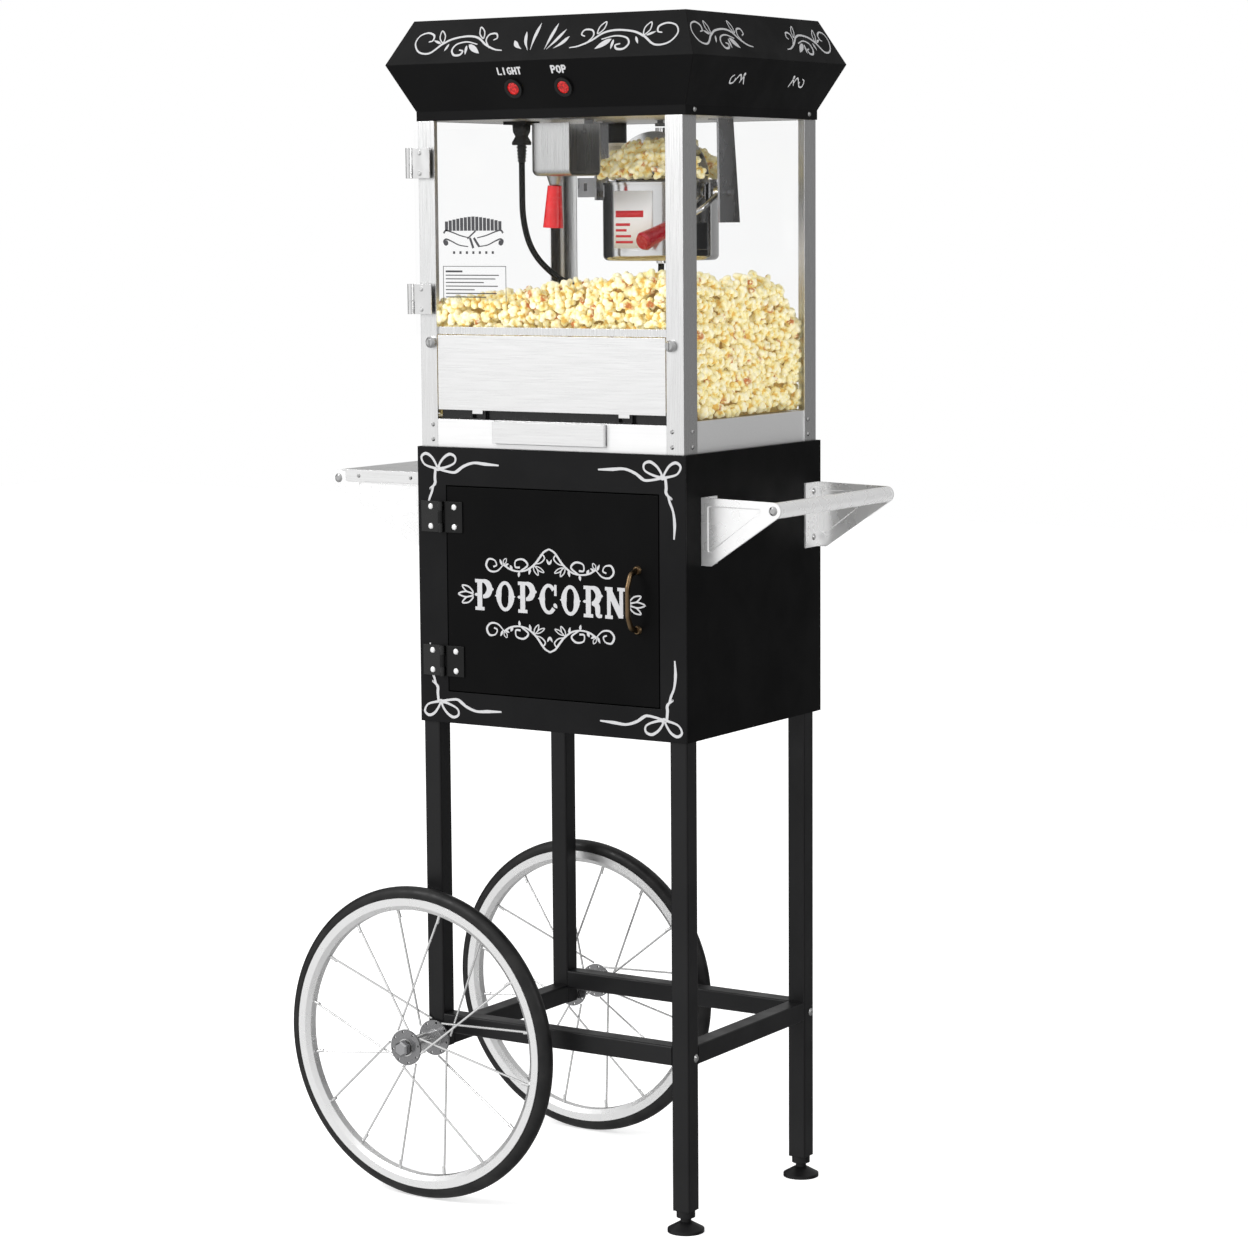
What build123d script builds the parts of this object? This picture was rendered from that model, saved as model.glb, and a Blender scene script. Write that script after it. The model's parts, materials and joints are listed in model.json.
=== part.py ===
"""Popcorn cart: a glazed popping cabinet on a two-wheeled cart, as separate pieces.

All sizes are in millimetres. Pieces are drawn in the column frame: x = 0, y = 0 is the
middle of the cart box, the door side faces -Y and z = 0 is the floor. save() moves each
piece by (COLUMN_X, COLUMN_Y), so that the finished part is centred on its own footprint.
"""

import os
from math import cos, radians, sin, sqrt, tan

from build123d import *

os.makedirs("parts", exist_ok=True)

# ---------------------------------------------------------------- driving dimensions
GAP = 0.3                     # between pieces of different bodies
RUNNING_FIT = 0.05            # radial play of a turning pin
SHEET = 1.5                   # folded panels

# undercarriage
TUBE = 25.0                   # square tube
TUBE_WALL = 2.0
LEG_X = 188.5                 # leg centres
UNDER_Y = -6.5                # middle of the undercarriage
LEG_Y = 147.5                 # leg centres, either side of UNDER_Y
AXLE_Z = 207.0
STRETCHER_Z = 227.5
FOOT_LEG_END = 28.0

# wheels
WHEEL_R = AXLE_Z
WHEEL_Y = 195.75              # wheel planes, either side of UNDER_Y
TYRE_R = 10.5                 # half the tyre's section
RIM_INNER_R = 176.5
HUB_HALF = 33.0
FLANGE_R = 23.5
SPOKE_R = 1.4
AXLE_R = 6.0
BUSH_R = 8.0
AXLE_END = 240.75             # tips of the axle nuts, either side of UNDER_Y
SPOKES_PER_FLANGE = 8

# cart box
BOX_X, BOX_Y = 203.0, 169.5   # half width and half depth
BOX_Z0, BOX_Z1 = 628.0, 986.0
DOOR_X0, DOOR_X1 = -157.5, 163.0
DOOR_Z0, DOOR_Z1 = 670.5, 935.5
DOOR_GAP = 1.5

# side brackets, push bar and shelf
BAR_R = 10.0
BAR_X, BAR_Z = 306.0, 919.0
BAR_Y0, BAR_Y1 = -133.0, 161.0
SHELF_BAR_X, SHELF_BAR_Z = -339.0, 941.0
SHELF_Y = 160.0
SHELF_TOP = 951.5

# cabinet
CAB_X, CAB_Y = 198.3, 165.0
CAB_Z0, CAB_Z1 = BOX_Z1, 1401.2
DECK_Z = 1026.0
POST_FRONT, POST_FRONT_SIDE, POST_REAR_SIDE = 25.0, 32.0, 29.0
GLASS = 3.0
GLASS_DOOR_X0, GLASS_DOOR_X1 = -202.0, 173.0
GLASS_DOOR_Z0, GLASS_DOOR_Z1 = 1130.5, 1389.5
PANEL_X, PANEL_Z0, PANEL_Z1 = 172.0, 1034.0, 1129.5
PANEL_AXIS_Y, PANEL_AXIS_Z = -161.5, 1031.5
PANEL_TAB_X = 111.0
KNOB_X, KNOB_Z, KNOB_STUD_R = 181.0, 1120.0, 2.5
DRAWER_X, DRAWER_Z0, DRAWER_Z1 = 84.5, 993.0, 1021.0

# canopy: half width, half depth and height of each break in its profile
CANOPY = ((201.8, 163.0, 1401.2), (201.8, 163.0, 1413.1), (230.0, 190.4, 1471.9), (203.0, 163.3, 1527.3))
CANOPY_WALL = 2.2
CEILING_Z = 1401.5
SWITCH_X = (-42.0, 33.0)
SWITCH_Z = 1439.0

# kettle
KX, KY = 39.0, 40.0           # kettle axis
KETTLE_R = 75.0
KETTLE_Z0, POT_Z0, KETTLE_Z1 = 1222.0, 1236.0, 1322.0
GLAND_H = 4.0                 # cord gland under the kettle
TILT_Z = 1308.0               # trunnion axis
LID_HINGE_Y = 8.0             # lid hinges, either side of the kettle axis
LID_HINGE_Z = 1327.0
LID_OPEN = 82.0               # degrees, as they stand at rest
LEFT_HANGER_X, RIGHT_HANGER_X = -52.0, 140.0

# scoop
SCOOP_X0, SCOOP_X1 = -48.0, 17.0
SCOOP_Y, SCOOP_HALF = -105.0, 36.0
SCOOP_Z0, SCOOP_Z1 = 1330.0, 1396.0
PEG_X, PEG_Z = -6.0, 1386.0

# cord from the outlet in the ceiling to the underside of the kettle
CORD_R = 4.0
PLUG_X, PLUG_Y = -120.0, -45.0
PLUG_Z0, PLUG_Z1 = 1350.0, 1397.5

# the finished part is centred on its footprint: tyre to push bar, and nut to nut
TIP_R = BAR_R + 0.5
COLUMN_X = (LEG_X + WHEEL_R - BAR_X - TIP_R) / 2
COLUMN_Y = -UNDER_Y


# ---------------------------------------------------------------- shared shapes
def save(builder, name):
    """Label a finished piece, move it to the part's frame and write it."""
    piece = builder.part.moved(Location((COLUMN_X, COLUMN_Y, 0)))
    piece.label = name
    export_step(piece, f"parts/{name}.step")


def block(x, y, z, mode=Mode.ADD):
    """A block between pairs of coordinates."""
    with Locations(((x[0] + x[1]) / 2, (y[0] + y[1]) / 2, (z[0] + z[1]) / 2)):
        Box(abs(x[1] - x[0]), abs(y[1] - y[0]), abs(z[1] - z[0]), mode=mode)


def rod(start, end, radius, mode=Mode.ADD):
    """A round bar from start to end."""
    line = Vector(*end) - Vector(*start)
    with BuildSketch(Plane(origin=start, z_dir=line)) as section:
        Circle(radius)
    extrude(section.sketch, amount=line.length, mode=mode)


def taper(start, end, radius_start, radius_end, mode=Mode.ADD):
    """A round bar that narrows or widens from start to end."""
    line = Vector(*end) - Vector(*start)
    middle = (Vector(*start) + Vector(*end)) * 0.5
    with Locations(Plane(origin=middle, z_dir=line)):
        Cone(radius_start, radius_end, line.length, mode=mode)


def square_tube(start, end):
    """Square tube from start to end, open at both ends."""
    line = Vector(*end) - Vector(*start)
    side = Vector(0, 0, 1) if abs(line.Z) < 1 else Vector(1, 0, 0)
    with BuildSketch(Plane(origin=start, x_dir=side, z_dir=line)) as section:
        RectangleRounded(TUBE, TUBE, 2.5)
        RectangleRounded(TUBE - 2 * TUBE_WALL, TUBE - 2 * TUBE_WALL, 1.0, mode=Mode.SUBTRACT)
    extrude(section.sketch, amount=line.length)


def screw_head(at, direction, radius=3.2):
    """A domed screw head that stands on a face at `at`."""
    out = Vector(*direction)
    taper(at, Vector(*at) + out * 1.8, radius, 0.55 * radius)


# ---------------------------------------------------------------- undercarriage
def leg_centres(side):
    """Leg centres on the left (-1) or right (+1) of the cart."""
    return [(side * LEG_X, UNDER_Y - LEG_Y), (side * LEG_X, UNDER_Y + LEG_Y)]


axle_tube_z0 = AXLE_Z - TUBE / 2
with BuildPart() as legs_left:
    for leg_x, leg_y in leg_centres(-1):
        square_tube((leg_x, leg_y, axle_tube_z0), (leg_x, leg_y, BOX_Z0))
    rod((-LEG_X, UNDER_Y - 200, AXLE_Z), (-LEG_X, UNDER_Y + 200, AXLE_Z), AXLE_R + 0.02, Mode.SUBTRACT)
save(legs_left, "legs_left")

with BuildPart() as legs_right:
    for leg_x, leg_y in leg_centres(1):
        square_tube((leg_x, leg_y, FOOT_LEG_END), (leg_x, leg_y, BOX_Z0))
save(legs_right, "legs_right")

inner_x = LEG_X - TUBE / 2
inner_y = LEG_Y - TUBE / 2
with BuildPart() as stretchers:
    for y in (UNDER_Y - LEG_Y, UNDER_Y + LEG_Y):
        square_tube((-inner_x, y, STRETCHER_Z), (inner_x, y, STRETCHER_Z))
    square_tube((LEG_X, UNDER_Y - inner_y, STRETCHER_Z), (LEG_X, UNDER_Y + inner_y, STRETCHER_Z))
    square_tube((-LEG_X, UNDER_Y - inner_y, AXLE_Z), (-LEG_X, UNDER_Y + inner_y, AXLE_Z))
save(stretchers, "stretchers")

rod_end = WHEEL_Y + HUB_HALF + 6.0
with BuildPart() as axle_rod:
    rod((-LEG_X, UNDER_Y - rod_end, AXLE_Z), (-LEG_X, UNDER_Y + rod_end, AXLE_Z), AXLE_R)
save(axle_rod, "axle_rod")

bush_end = WHEEL_Y + HUB_HALF + GAP + 2.0
with BuildPart() as axle_nuts:
    for side in (-1, 1):
        start = (-LEG_X, UNDER_Y + side * bush_end, AXLE_Z)
        with BuildSketch(Plane(origin=start, z_dir=(0, side, 0))) as hexagon:
            RegularPolygon(10.5, 6)
        extrude(hexagon.sketch, amount=AXLE_END - bush_end)
        rod(start, (-LEG_X, UNDER_Y + side * rod_end, AXLE_Z), AXLE_R + 0.02, Mode.SUBTRACT)
    for end_face in (axle_nuts.faces().sort_by(Axis.Y)[0], axle_nuts.faces().sort_by(Axis.Y)[-1]):
        chamfer(end_face.edges(), 2.0)
save(axle_nuts, "axle_nuts")

with BuildPart() as wheel_bushes:
    for side in (-1, 1):
        for inward in (-1, 1):
            collar = UNDER_Y + side * WHEEL_Y + inward * (HUB_HALF + GAP)
            rod((-LEG_X, collar, AXLE_Z), (-LEG_X, collar + inward * 2.0, AXLE_Z), 10.0)
            rod((-LEG_X, collar, AXLE_Z), (-LEG_X, collar - inward * 16.0, AXLE_Z), BUSH_R)
    rod((-LEG_X, UNDER_Y - 260, AXLE_Z), (-LEG_X, UNDER_Y + 260, AXLE_Z), AXLE_R + 0.02, Mode.SUBTRACT)
save(wheel_bushes, "wheel_bushes")


def make_foot(name, foot_y):
    """Levelling foot: disc, cone, neck and the stud that screws into the leg."""
    with BuildPart() as foot:
        rod((LEG_X, foot_y, 0), (LEG_X, foot_y, 4), 23.5)
        taper((LEG_X, foot_y, 4), (LEG_X, foot_y, 13), 23.5, 8.0)
        rod((LEG_X, foot_y, 13), (LEG_X, foot_y, 18), 7.0)
        rod((LEG_X, foot_y, 18), (LEG_X, foot_y, 62), 4.0)
    save(foot, name)


make_foot("foot_front", UNDER_Y - LEG_Y)
make_foot("foot_rear", UNDER_Y + LEG_Y)

with BuildPart() as foot_collars:
    for leg_x, leg_y in leg_centres(1):
        rod((leg_x, leg_y, 19), (leg_x, leg_y, FOOT_LEG_END), 12.0)
        rod((leg_x, leg_y, FOOT_LEG_END), (leg_x, leg_y, 48), 10.0)
        rod((leg_x, leg_y, 19), (leg_x, leg_y, 48), 4.0 + RUNNING_FIT, Mode.SUBTRACT)
save(foot_collars, "foot_collars")


# ---------------------------------------------------------------- wheels
def polar(radius, degrees):
    """A point of the wheel's plane as (x, z)."""
    return (-LEG_X + radius * cos(radians(degrees)), AXLE_Z + radius * sin(radians(degrees)))


def make_wheel(name, wheel_y):
    """Tyre, rim, and the hub with its spokes, each written as its own node."""
    wheel_axis = Axis((-LEG_X, wheel_y, AXLE_Z), (0, 1, 0))
    section_plane = Plane(origin=(-LEG_X, wheel_y, AXLE_Z), x_dir=(1, 0, 0), z_dir=(0, -1, 0))
    profile_plane = Plane(origin=(-LEG_X, wheel_y, AXLE_Z), x_dir=(1, 0, 0), z_dir=(0, 0, 1))
    tyre_ring = WHEEL_R - TYRE_R
    with BuildPart() as tyre:
        with BuildSketch(profile_plane):
            with Locations((tyre_ring, 0)):
                Circle(TYRE_R)
        revolve(axis=wheel_axis)
    save(tyre, f"{name}_tyre")

    with BuildPart() as rim:
        with BuildSketch(profile_plane):
            with BuildLine():
                Polyline(
                    (RIM_INNER_R, -5.5),
                    (RIM_INNER_R + 6.0, -10.5),
                    (RIM_INNER_R + 16.0, -11.0),
                    (RIM_INNER_R + 16.0, 11.0),
                    (RIM_INNER_R + 6.0, 10.5),
                    (RIM_INNER_R, 5.5),
                    close=True,
                )
            make_face()
            with Locations((tyre_ring, 0)):
                Circle(TYRE_R + 0.02, mode=Mode.SUBTRACT)
        revolve(axis=wheel_axis)
    save(rim, f"{name}_rim")

    with BuildPart() as hub:
        rod((-LEG_X, wheel_y - HUB_HALF, AXLE_Z), (-LEG_X, wheel_y + HUB_HALF, AXLE_Z), 11.0)
        for side in (-1, 1):
            flange_y = wheel_y + side * (HUB_HALF - 3.0)
            with BuildSketch(Plane(origin=(-LEG_X, flange_y, AXLE_Z), z_dir=(0, side, 0))) as flange:
                Circle(FLANGE_R)
                with PolarLocations(FLANGE_R - 3.0, SPOKES_PER_FLANGE, start_angle=11.25):
                    Circle(1.6, mode=Mode.SUBTRACT)
            extrude(flange.sketch, amount=3.0)
        rod(
            (-LEG_X, wheel_y - HUB_HALF - 1, AXLE_Z),
            (-LEG_X, wheel_y + HUB_HALF + 1, AXLE_Z),
            BUSH_R + RUNNING_FIT,
            Mode.SUBTRACT,
        )
        step = 360 / SPOKES_PER_FLANGE
        for side in (-1, 1):
            for spoke in range(SPOKES_PER_FLANGE):
                lead = 1 if spoke % 2 == 0 else -1
                at_hub = spoke * step + side * step / 4
                at_rim = at_hub + lead * step
                hub_x, hub_z = polar(FLANGE_R + 0.2 + SPOKE_R, at_hub)
                rim_x, rim_z = polar(RIM_INNER_R - 0.6, at_rim)
                nipple_x, nipple_z = polar(RIM_INNER_R - 11.0, at_rim)
                hub_y = wheel_y + side * (HUB_HALF - 1.5 + 1.8 * lead)
                rim_y = wheel_y + side * 1.5
                share = 11.0 / (RIM_INNER_R - FLANGE_R)
                nipple_y = rim_y + (hub_y - rim_y) * share
                rod((hub_x, hub_y, hub_z), (rim_x, rim_y, rim_z), SPOKE_R)
                rod((nipple_x, nipple_y, nipple_z), (rim_x, rim_y, rim_z), 2.1)
    save(hub, f"{name}_hub")


make_wheel("wheel_front", UNDER_Y - WHEEL_Y)
make_wheel("wheel_rear", UNDER_Y + WHEEL_Y)

# ---------------------------------------------------------------- cart box
tray_z = (BOX_Z0, BOX_Z1 - SHEET)
with BuildPart() as cart_body:
    block((-BOX_X, BOX_X), (-BOX_Y + SHEET, BOX_Y), (BOX_Z0, BOX_Z1))
    block(
        (-BOX_X + SHEET, BOX_X - SHEET),
        (-BOX_Y - 1, BOX_Y - SHEET),
        (BOX_Z0 - 1, BOX_Z1 + 1),
        Mode.SUBTRACT,
    )
save(cart_body, "cart_body")

with BuildPart() as cart_trays:
    for z in tray_z:
        block(
            (-BOX_X + SHEET + 0.1, BOX_X - SHEET - 0.1),
            (-BOX_Y + SHEET + 0.1, BOX_Y - SHEET - 0.1),
            (z, z + SHEET),
        )
save(cart_trays, "cart_trays")

with BuildPart() as cart_front_frame:
    block((-BOX_X, BOX_X), (-BOX_Y, -BOX_Y + SHEET), (BOX_Z0, BOX_Z1))
    block(
        (DOOR_X0 - DOOR_GAP, DOOR_X1 + DOOR_GAP),
        (-BOX_Y - 1, -BOX_Y + SHEET + 1),
        (DOOR_Z0 - DOOR_GAP, DOOR_Z1 + DOOR_GAP),
        Mode.SUBTRACT,
    )
save(cart_front_frame, "cart_front_frame")

with BuildPart() as cart_door:
    block((DOOR_X0, DOOR_X1), (-BOX_Y, -BOX_Y + 14), (DOOR_Z0, DOOR_Z1))
    block(
        (DOOR_X0 + SHEET, DOOR_X1 - SHEET),
        (-BOX_Y + SHEET, -BOX_Y + 15),
        (DOOR_Z0 + SHEET, DOOR_Z1 - SHEET),
        Mode.SUBTRACT,
    )
save(cart_door, "cart_door")

PULL_X, PULL_Z0, PULL_Z1, PULL_OUT = 132.0, 766.0, 841.0, 26.0
pull_middle = (PULL_Z0 + PULL_Z1) / 2
with BuildPart() as cart_door_pull:
    with BuildLine():
        FilletPolyline(
            (PULL_X, -BOX_Y - 2.2, PULL_Z0),
            (PULL_X, -BOX_Y - 16, PULL_Z0 + 4),
            (PULL_X, -BOX_Y - PULL_OUT + 3, PULL_Z0 + 20),
            (PULL_X, -BOX_Y - PULL_OUT + 3, PULL_Z1 - 20),
            (PULL_X, -BOX_Y - 16, PULL_Z1 - 4),
            (PULL_X, -BOX_Y - 2.2, PULL_Z1),
            radius=9,
        )
    with BuildSketch(Plane(origin=(PULL_X, -BOX_Y - 2.2, PULL_Z0), z_dir=(0, -13.8, 4))):
        Ellipse(3.8, 3.0)
    sweep()
    for z in (PULL_Z0, PULL_Z1):
        taper((PULL_X, -BOX_Y, z), (PULL_X, -BOX_Y - 3, z), 6.0, 4.6)
save(cart_door_pull, "cart_door_pull")

# ---------------------------------------------------------------- hinges
CART_HINGE_X, CART_HINGE_Y = -165.5, -BOX_Y - 3.5
CART_HINGE_Z = (689.0, 876.0)
CART_HINGE_H = 40.0
CART_RIVET_R = 3.8
LIFT_HINGE_X, LIFT_HINGE_Y = -208.5, -171.2
LIFT_HINGE_Z = (1156.0, 1329.0)
LIFT_HINGE_H = 38.5
LIFT_SPLIT = 17.0
glass_y0 = -CAB_Y - 1.6 - GLASS    # front of the door glass
glass_y1 = -CAB_Y - 1.6            # back of the door glass

with BuildPart() as hinge_frame_leaves:
    # leaves of the cart door's hinges, with the pins
    for z in CART_HINGE_Z:
        block((CART_HINGE_X - 32, CART_HINGE_X - 4), (-BOX_Y - SHEET, -BOX_Y), (z, z + CART_HINGE_H))
        for end in (0.0, CART_HINGE_H - 12.0):
            rod((CART_HINGE_X, CART_HINGE_Y, z + end), (CART_HINGE_X, CART_HINGE_Y, z + end + 12), 3.5)
            block((CART_HINGE_X - 4, CART_HINGE_X), (-BOX_Y - SHEET, -BOX_Y), (z + end, z + end + 12))
        rod((CART_HINGE_X, CART_HINGE_Y, z), (CART_HINGE_X, CART_HINGE_Y, z + CART_HINGE_H), 1.8)
        for height in (7.5, CART_HINGE_H - 7.0):
            screw_head((-182.3, -BOX_Y - SHEET, z + height), (0, -1, 0), CART_RIVET_R)
    # lower halves of the glass door's lift-off hinges: plate on the post, knuckle and pin
    for z in LIFT_HINGE_Z:
        side_x = -CAB_X
        block((side_x - SHEET, side_x), (-CAB_Y + 1, -CAB_Y + 26), (z, z + LIFT_HINGE_H))
        block((LIFT_HINGE_X - 1.2, side_x), (LIFT_HINGE_Y, -CAB_Y + 3), (z, z + LIFT_SPLIT - GAP))
        block(
            (LIFT_HINGE_X + 1.2, side_x + 1),
            (LIFT_HINGE_Y - 4.5, -CAB_Y),
            (z - 1, z + LIFT_SPLIT),
            Mode.SUBTRACT,
        )
        rod((LIFT_HINGE_X, LIFT_HINGE_Y, z), (LIFT_HINGE_X, LIFT_HINGE_Y, z + LIFT_SPLIT - GAP), 4.5)
        rod((LIFT_HINGE_X, LIFT_HINGE_Y, z), (LIFT_HINGE_X, LIFT_HINGE_Y, z + LIFT_HINGE_H - 4), 2.2)
    # ears and pins that the drop panel turns on
    for side in (-1, 1):
        for end in (-1, 1):
            x = side * PANEL_TAB_X + end * 10.0
            ear_y = (-CAB_Y + SHEET + 0.2, PANEL_AXIS_Y + 3.0)
            block((x - 1.2, x + 1.2), ear_y, (1022.2, PANEL_AXIS_Z + 3.0))
        rod(
            (side * PANEL_TAB_X - 10, PANEL_AXIS_Y, PANEL_AXIS_Z),
            (side * PANEL_TAB_X + 10, PANEL_AXIS_Y, PANEL_AXIS_Z),
            1.2,
        )
        block(
            (side * PANEL_TAB_X - 11.2, side * PANEL_TAB_X + 11.2),
            (-CAB_Y + 0.2, PANEL_AXIS_Y + 3.0),
            (1022.0, 1024.0),
        )
    # dark sill behind the gap under the drop panel
    block((-170.0, 170.0), (PANEL_AXIS_Y + 2.8, PANEL_AXIS_Y + 4.1), (1022.2, 1037.0))
save(hinge_frame_leaves, "hinge_frame_leaves")

with BuildPart() as cart_hinge_door_leaves:
    for z in CART_HINGE_Z:
        knuckle = (z + 12 + GAP, z + CART_HINGE_H - 12 - GAP)
        rod((CART_HINGE_X, CART_HINGE_Y, knuckle[0]), (CART_HINGE_X, CART_HINGE_Y, knuckle[1]), 3.5)
        block((CART_HINGE_X, CART_HINGE_X + 5), (-BOX_Y - SHEET, -BOX_Y - GAP), knuckle)
        leaf_x = (CART_HINGE_X + 4.2, CART_HINGE_X + 8.2)
        block(leaf_x, (-BOX_Y - SHEET, -BOX_Y - GAP), (z, z + CART_HINGE_H))
        block((CART_HINGE_X + 8, CART_HINGE_X + 32.5), (-BOX_Y - SHEET, -BOX_Y), (z, z + CART_HINGE_H))
        rod(
            (CART_HINGE_X, CART_HINGE_Y, z),
            (CART_HINGE_X, CART_HINGE_Y, z + CART_HINGE_H),
            1.8 + RUNNING_FIT,
            Mode.SUBTRACT,
        )
        for height in (7.5, CART_HINGE_H - 7.0):
            screw_head((-145.5, -BOX_Y - SHEET, z + height), (0, -1, 0), CART_RIVET_R)
save(cart_hinge_door_leaves, "cart_hinge_door_leaves")

with BuildPart() as glass_hinge_leaves:
    for z in LIFT_HINGE_Z:
        upper = (z + LIFT_SPLIT, z + LIFT_HINGE_H)
        rod((LIFT_HINGE_X, LIFT_HINGE_Y, upper[0]), (LIFT_HINGE_X, LIFT_HINGE_Y, upper[1]), 4.5)
        block((LIFT_HINGE_X, -202.0), (glass_y0 - SHEET, glass_y0 - 0.05), upper)
        block((-203.5, -177.0), (glass_y0 - SHEET, glass_y0), (z, z + LIFT_HINGE_H))
        rod(
            (LIFT_HINGE_X, LIFT_HINGE_Y, z),
            (LIFT_HINGE_X, LIFT_HINGE_Y, z + LIFT_HINGE_H - 4 + GAP),
            2.2 + RUNNING_FIT,
            Mode.SUBTRACT,
        )
        for height in (6.0, LIFT_HINGE_H - 6.5):
            screw_head((-192.3, glass_y0 - SHEET, z + height), (0, -1, 0))
save(glass_hinge_leaves, "glass_hinge_leaves")

# ---------------------------------------------------------------- brackets, push bar, shelf
BRACKET_THICK = 3.0
BRACKET_FOOT = 35.0


def side_bracket(wall_x, tip_x, tip_z, top_z, low_z, plate_y, inward, top_room, tip_room):
    """Triangular pressed bracket: foot on the box wall, plate out to the bar's end.

    The plate has a shallow pressed triangle, `top_room` below its upper edge and
    `tip_room` short of the bar.
    """
    out = 1 if tip_x > wall_x else -1
    base = (wall_x + out * 1.0, low_z)
    length_down = sqrt((tip_x - base[0]) ** 2 + (tip_z - base[1]) ** 2)
    down = ((tip_x - base[0]) / length_down, (tip_z - base[1]) / length_down)
    low_tip = (tip_x + TIP_R * down[1] * out, tip_z - TIP_R * abs(down[0]))
    plane = Plane(origin=(0, plate_y, 0), x_dir=(1, 0, 0), z_dir=(0, -1, 0))
    with BuildSketch(plane) as outline:
        with BuildLine():
            Polyline(
                (wall_x, top_z),
                (tip_x, tip_z + TIP_R),
                (tip_x, tip_z),
                low_tip,
                (wall_x + out * 14, low_z),
                (wall_x, low_z),
                close=True,
            )
        make_face()
        with Locations((tip_x, tip_z)):
            Circle(TIP_R)
    extrude(outline.sketch, amount=-inward * BRACKET_THICK)
    with BuildSketch(plane) as recess:
        with BuildLine():
            Polyline(
                (wall_x + out * 9.0, top_z - top_room),
                (tip_x - out * tip_room, tip_z + TIP_R - top_room + 1.5),
                (wall_x + out * 9.0, low_z + 14.0),
                close=True,
            )
        make_face()
        fillet(recess.vertices(), 3.0)
    extrude(recess.sketch, amount=-inward * 1.2, taper=45, mode=Mode.SUBTRACT)
    inner_face = recess.sketch.moved(Location((0, inward * BRACKET_THICK, 0)))
    extrude(inner_face, amount=inward * 1.2, taper=45, mode=Mode.SUBTRACT)
    foot_y = (plate_y, plate_y + inward * BRACKET_FOOT)
    block(
        (wall_x, wall_x + out * 2.5),
        (min(foot_y), max(foot_y)),
        (low_z, top_z),
    )


with BuildPart() as side_brackets:
    for plate_y, inward in ((BAR_Y0, 1), (BAR_Y1, -1)):
        side_bracket(BOX_X, BAR_X, BAR_Z, 932.0, 847.0, plate_y, inward, 10.0, 12.0)
    for plate_y, inward in ((-SHELF_Y, 1), (SHELF_Y, -1)):
        side_bracket(-BOX_X, SHELF_BAR_X, SHELF_BAR_Z - 1.5, 949.9, 856.0, plate_y, inward, 16.0, 26.0)
save(side_brackets, "side_brackets")

bar_ends = (
    (BAR_X, BAR_Z, BAR_Y0, BAR_Y1),
    (SHELF_BAR_X, SHELF_BAR_Z - 1.5, -SHELF_Y, SHELF_Y),
)
with BuildPart() as handle_bars:
    for x, z, y0, y1 in bar_ends:
        rod((x, y0 + BRACKET_THICK, z), (x, y1 - BRACKET_THICK, z), BAR_R)
        rod((x, y0 + BRACKET_THICK, z), (x, y1 - BRACKET_THICK, z), BAR_R - 1.5, Mode.SUBTRACT)
save(handle_bars, "handle_bars")

shelf_z = (SHELF_TOP - SHEET, SHELF_TOP)
with BuildPart() as shelf_plate:
    block((-332.0, -BOX_X - 0.2), (-SHELF_Y - SHEET, SHELF_Y + SHEET), shelf_z)
    for side in (-1, 1):
        flange_y = (side * SHELF_Y, side * (SHELF_Y + SHEET))
        block((-326.0, -BOX_X - 3.0), (min(flange_y), max(flange_y)), (936.0, SHELF_TOP - SHEET))
save(shelf_plate, "shelf_plate")

# ---------------------------------------------------------------- cabinet structure
with BuildPart() as posts:
    for side in (-1, 1):
        x_out = side * CAB_X
        x_in = side * (CAB_X - POST_FRONT)
        x_leaf = side * (CAB_X - SHEET)
        for y_out, depth in ((-CAB_Y, POST_FRONT_SIDE), (CAB_Y, POST_REAR_SIDE)):
            way = 1 if y_out < 0 else -1
            y_leaf = y_out + way * SHEET
            y_far = y_out + way * depth
            block((x_out, x_in), (y_out, y_leaf), (CAB_Z0, CAB_Z1))
            block((x_out, x_leaf), (y_out, y_far), (CAB_Z0, CAB_Z1))
        x_lip = x_in + side * SHEET
        block((x_in, x_lip), (-CAB_Y, -CAB_Y + 7.0), (DECK_Z + 3.5, CAB_Z1))
        knob_x = side * KNOB_X
        hole_start = (knob_x, -CAB_Y - 1, KNOB_Z)
        hole_end = (knob_x, -CAB_Y + 3, KNOB_Z)
        rod(hole_start, hole_end, KNOB_STUD_R + RUNNING_FIT, Mode.SUBTRACT)
    # rail over the drop panel, set back between the posts
    rail_x = CAB_X - POST_FRONT
    block((-rail_x, rail_x), (-CAB_Y + 3.0, -CAB_Y + 4.5), (PANEL_Z1 + 1.0, PANEL_Z1 + 10.5))
save(posts, "posts")

base_x, base_y = CAB_X - SHEET, CAB_Y - SHEET
with BuildPart() as machine_base:
    block((-base_x, base_x), (-base_y, base_y), (CAB_Z0, DECK_Z))
    block(
        (-base_x + SHEET, base_x - SHEET),
        (-base_y + SHEET, base_y - SHEET),
        (CAB_Z0 + SHEET, DECK_Z + 1),
        Mode.SUBTRACT,
    )
    block((-base_x - 1, base_x + 1), (-base_y - 1, -base_y + SHEET + 1), (1022.0, DECK_Z + 1), Mode.SUBTRACT)
    mouth_z = (DRAWER_Z0 + 1, DRAWER_Z1 - 1)
    block((-DRAWER_X + 1.5, DRAWER_X - 1.5), (-base_y - 1, -base_y + 3), mouth_z, Mode.SUBTRACT)
    # apron between the posts, flush with their faces
    apron_x = CAB_X - POST_FRONT
    for x in ((-apron_x, -DRAWER_X - 1), (DRAWER_X + 1, apron_x)):
        block(x, (-CAB_Y, -base_y), (CAB_Z0, 1022.0))
    block((-DRAWER_X - 1, DRAWER_X + 1), (-CAB_Y, -base_y), (CAB_Z0, DRAWER_Z0 - 1))
save(machine_base, "machine_base")

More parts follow.
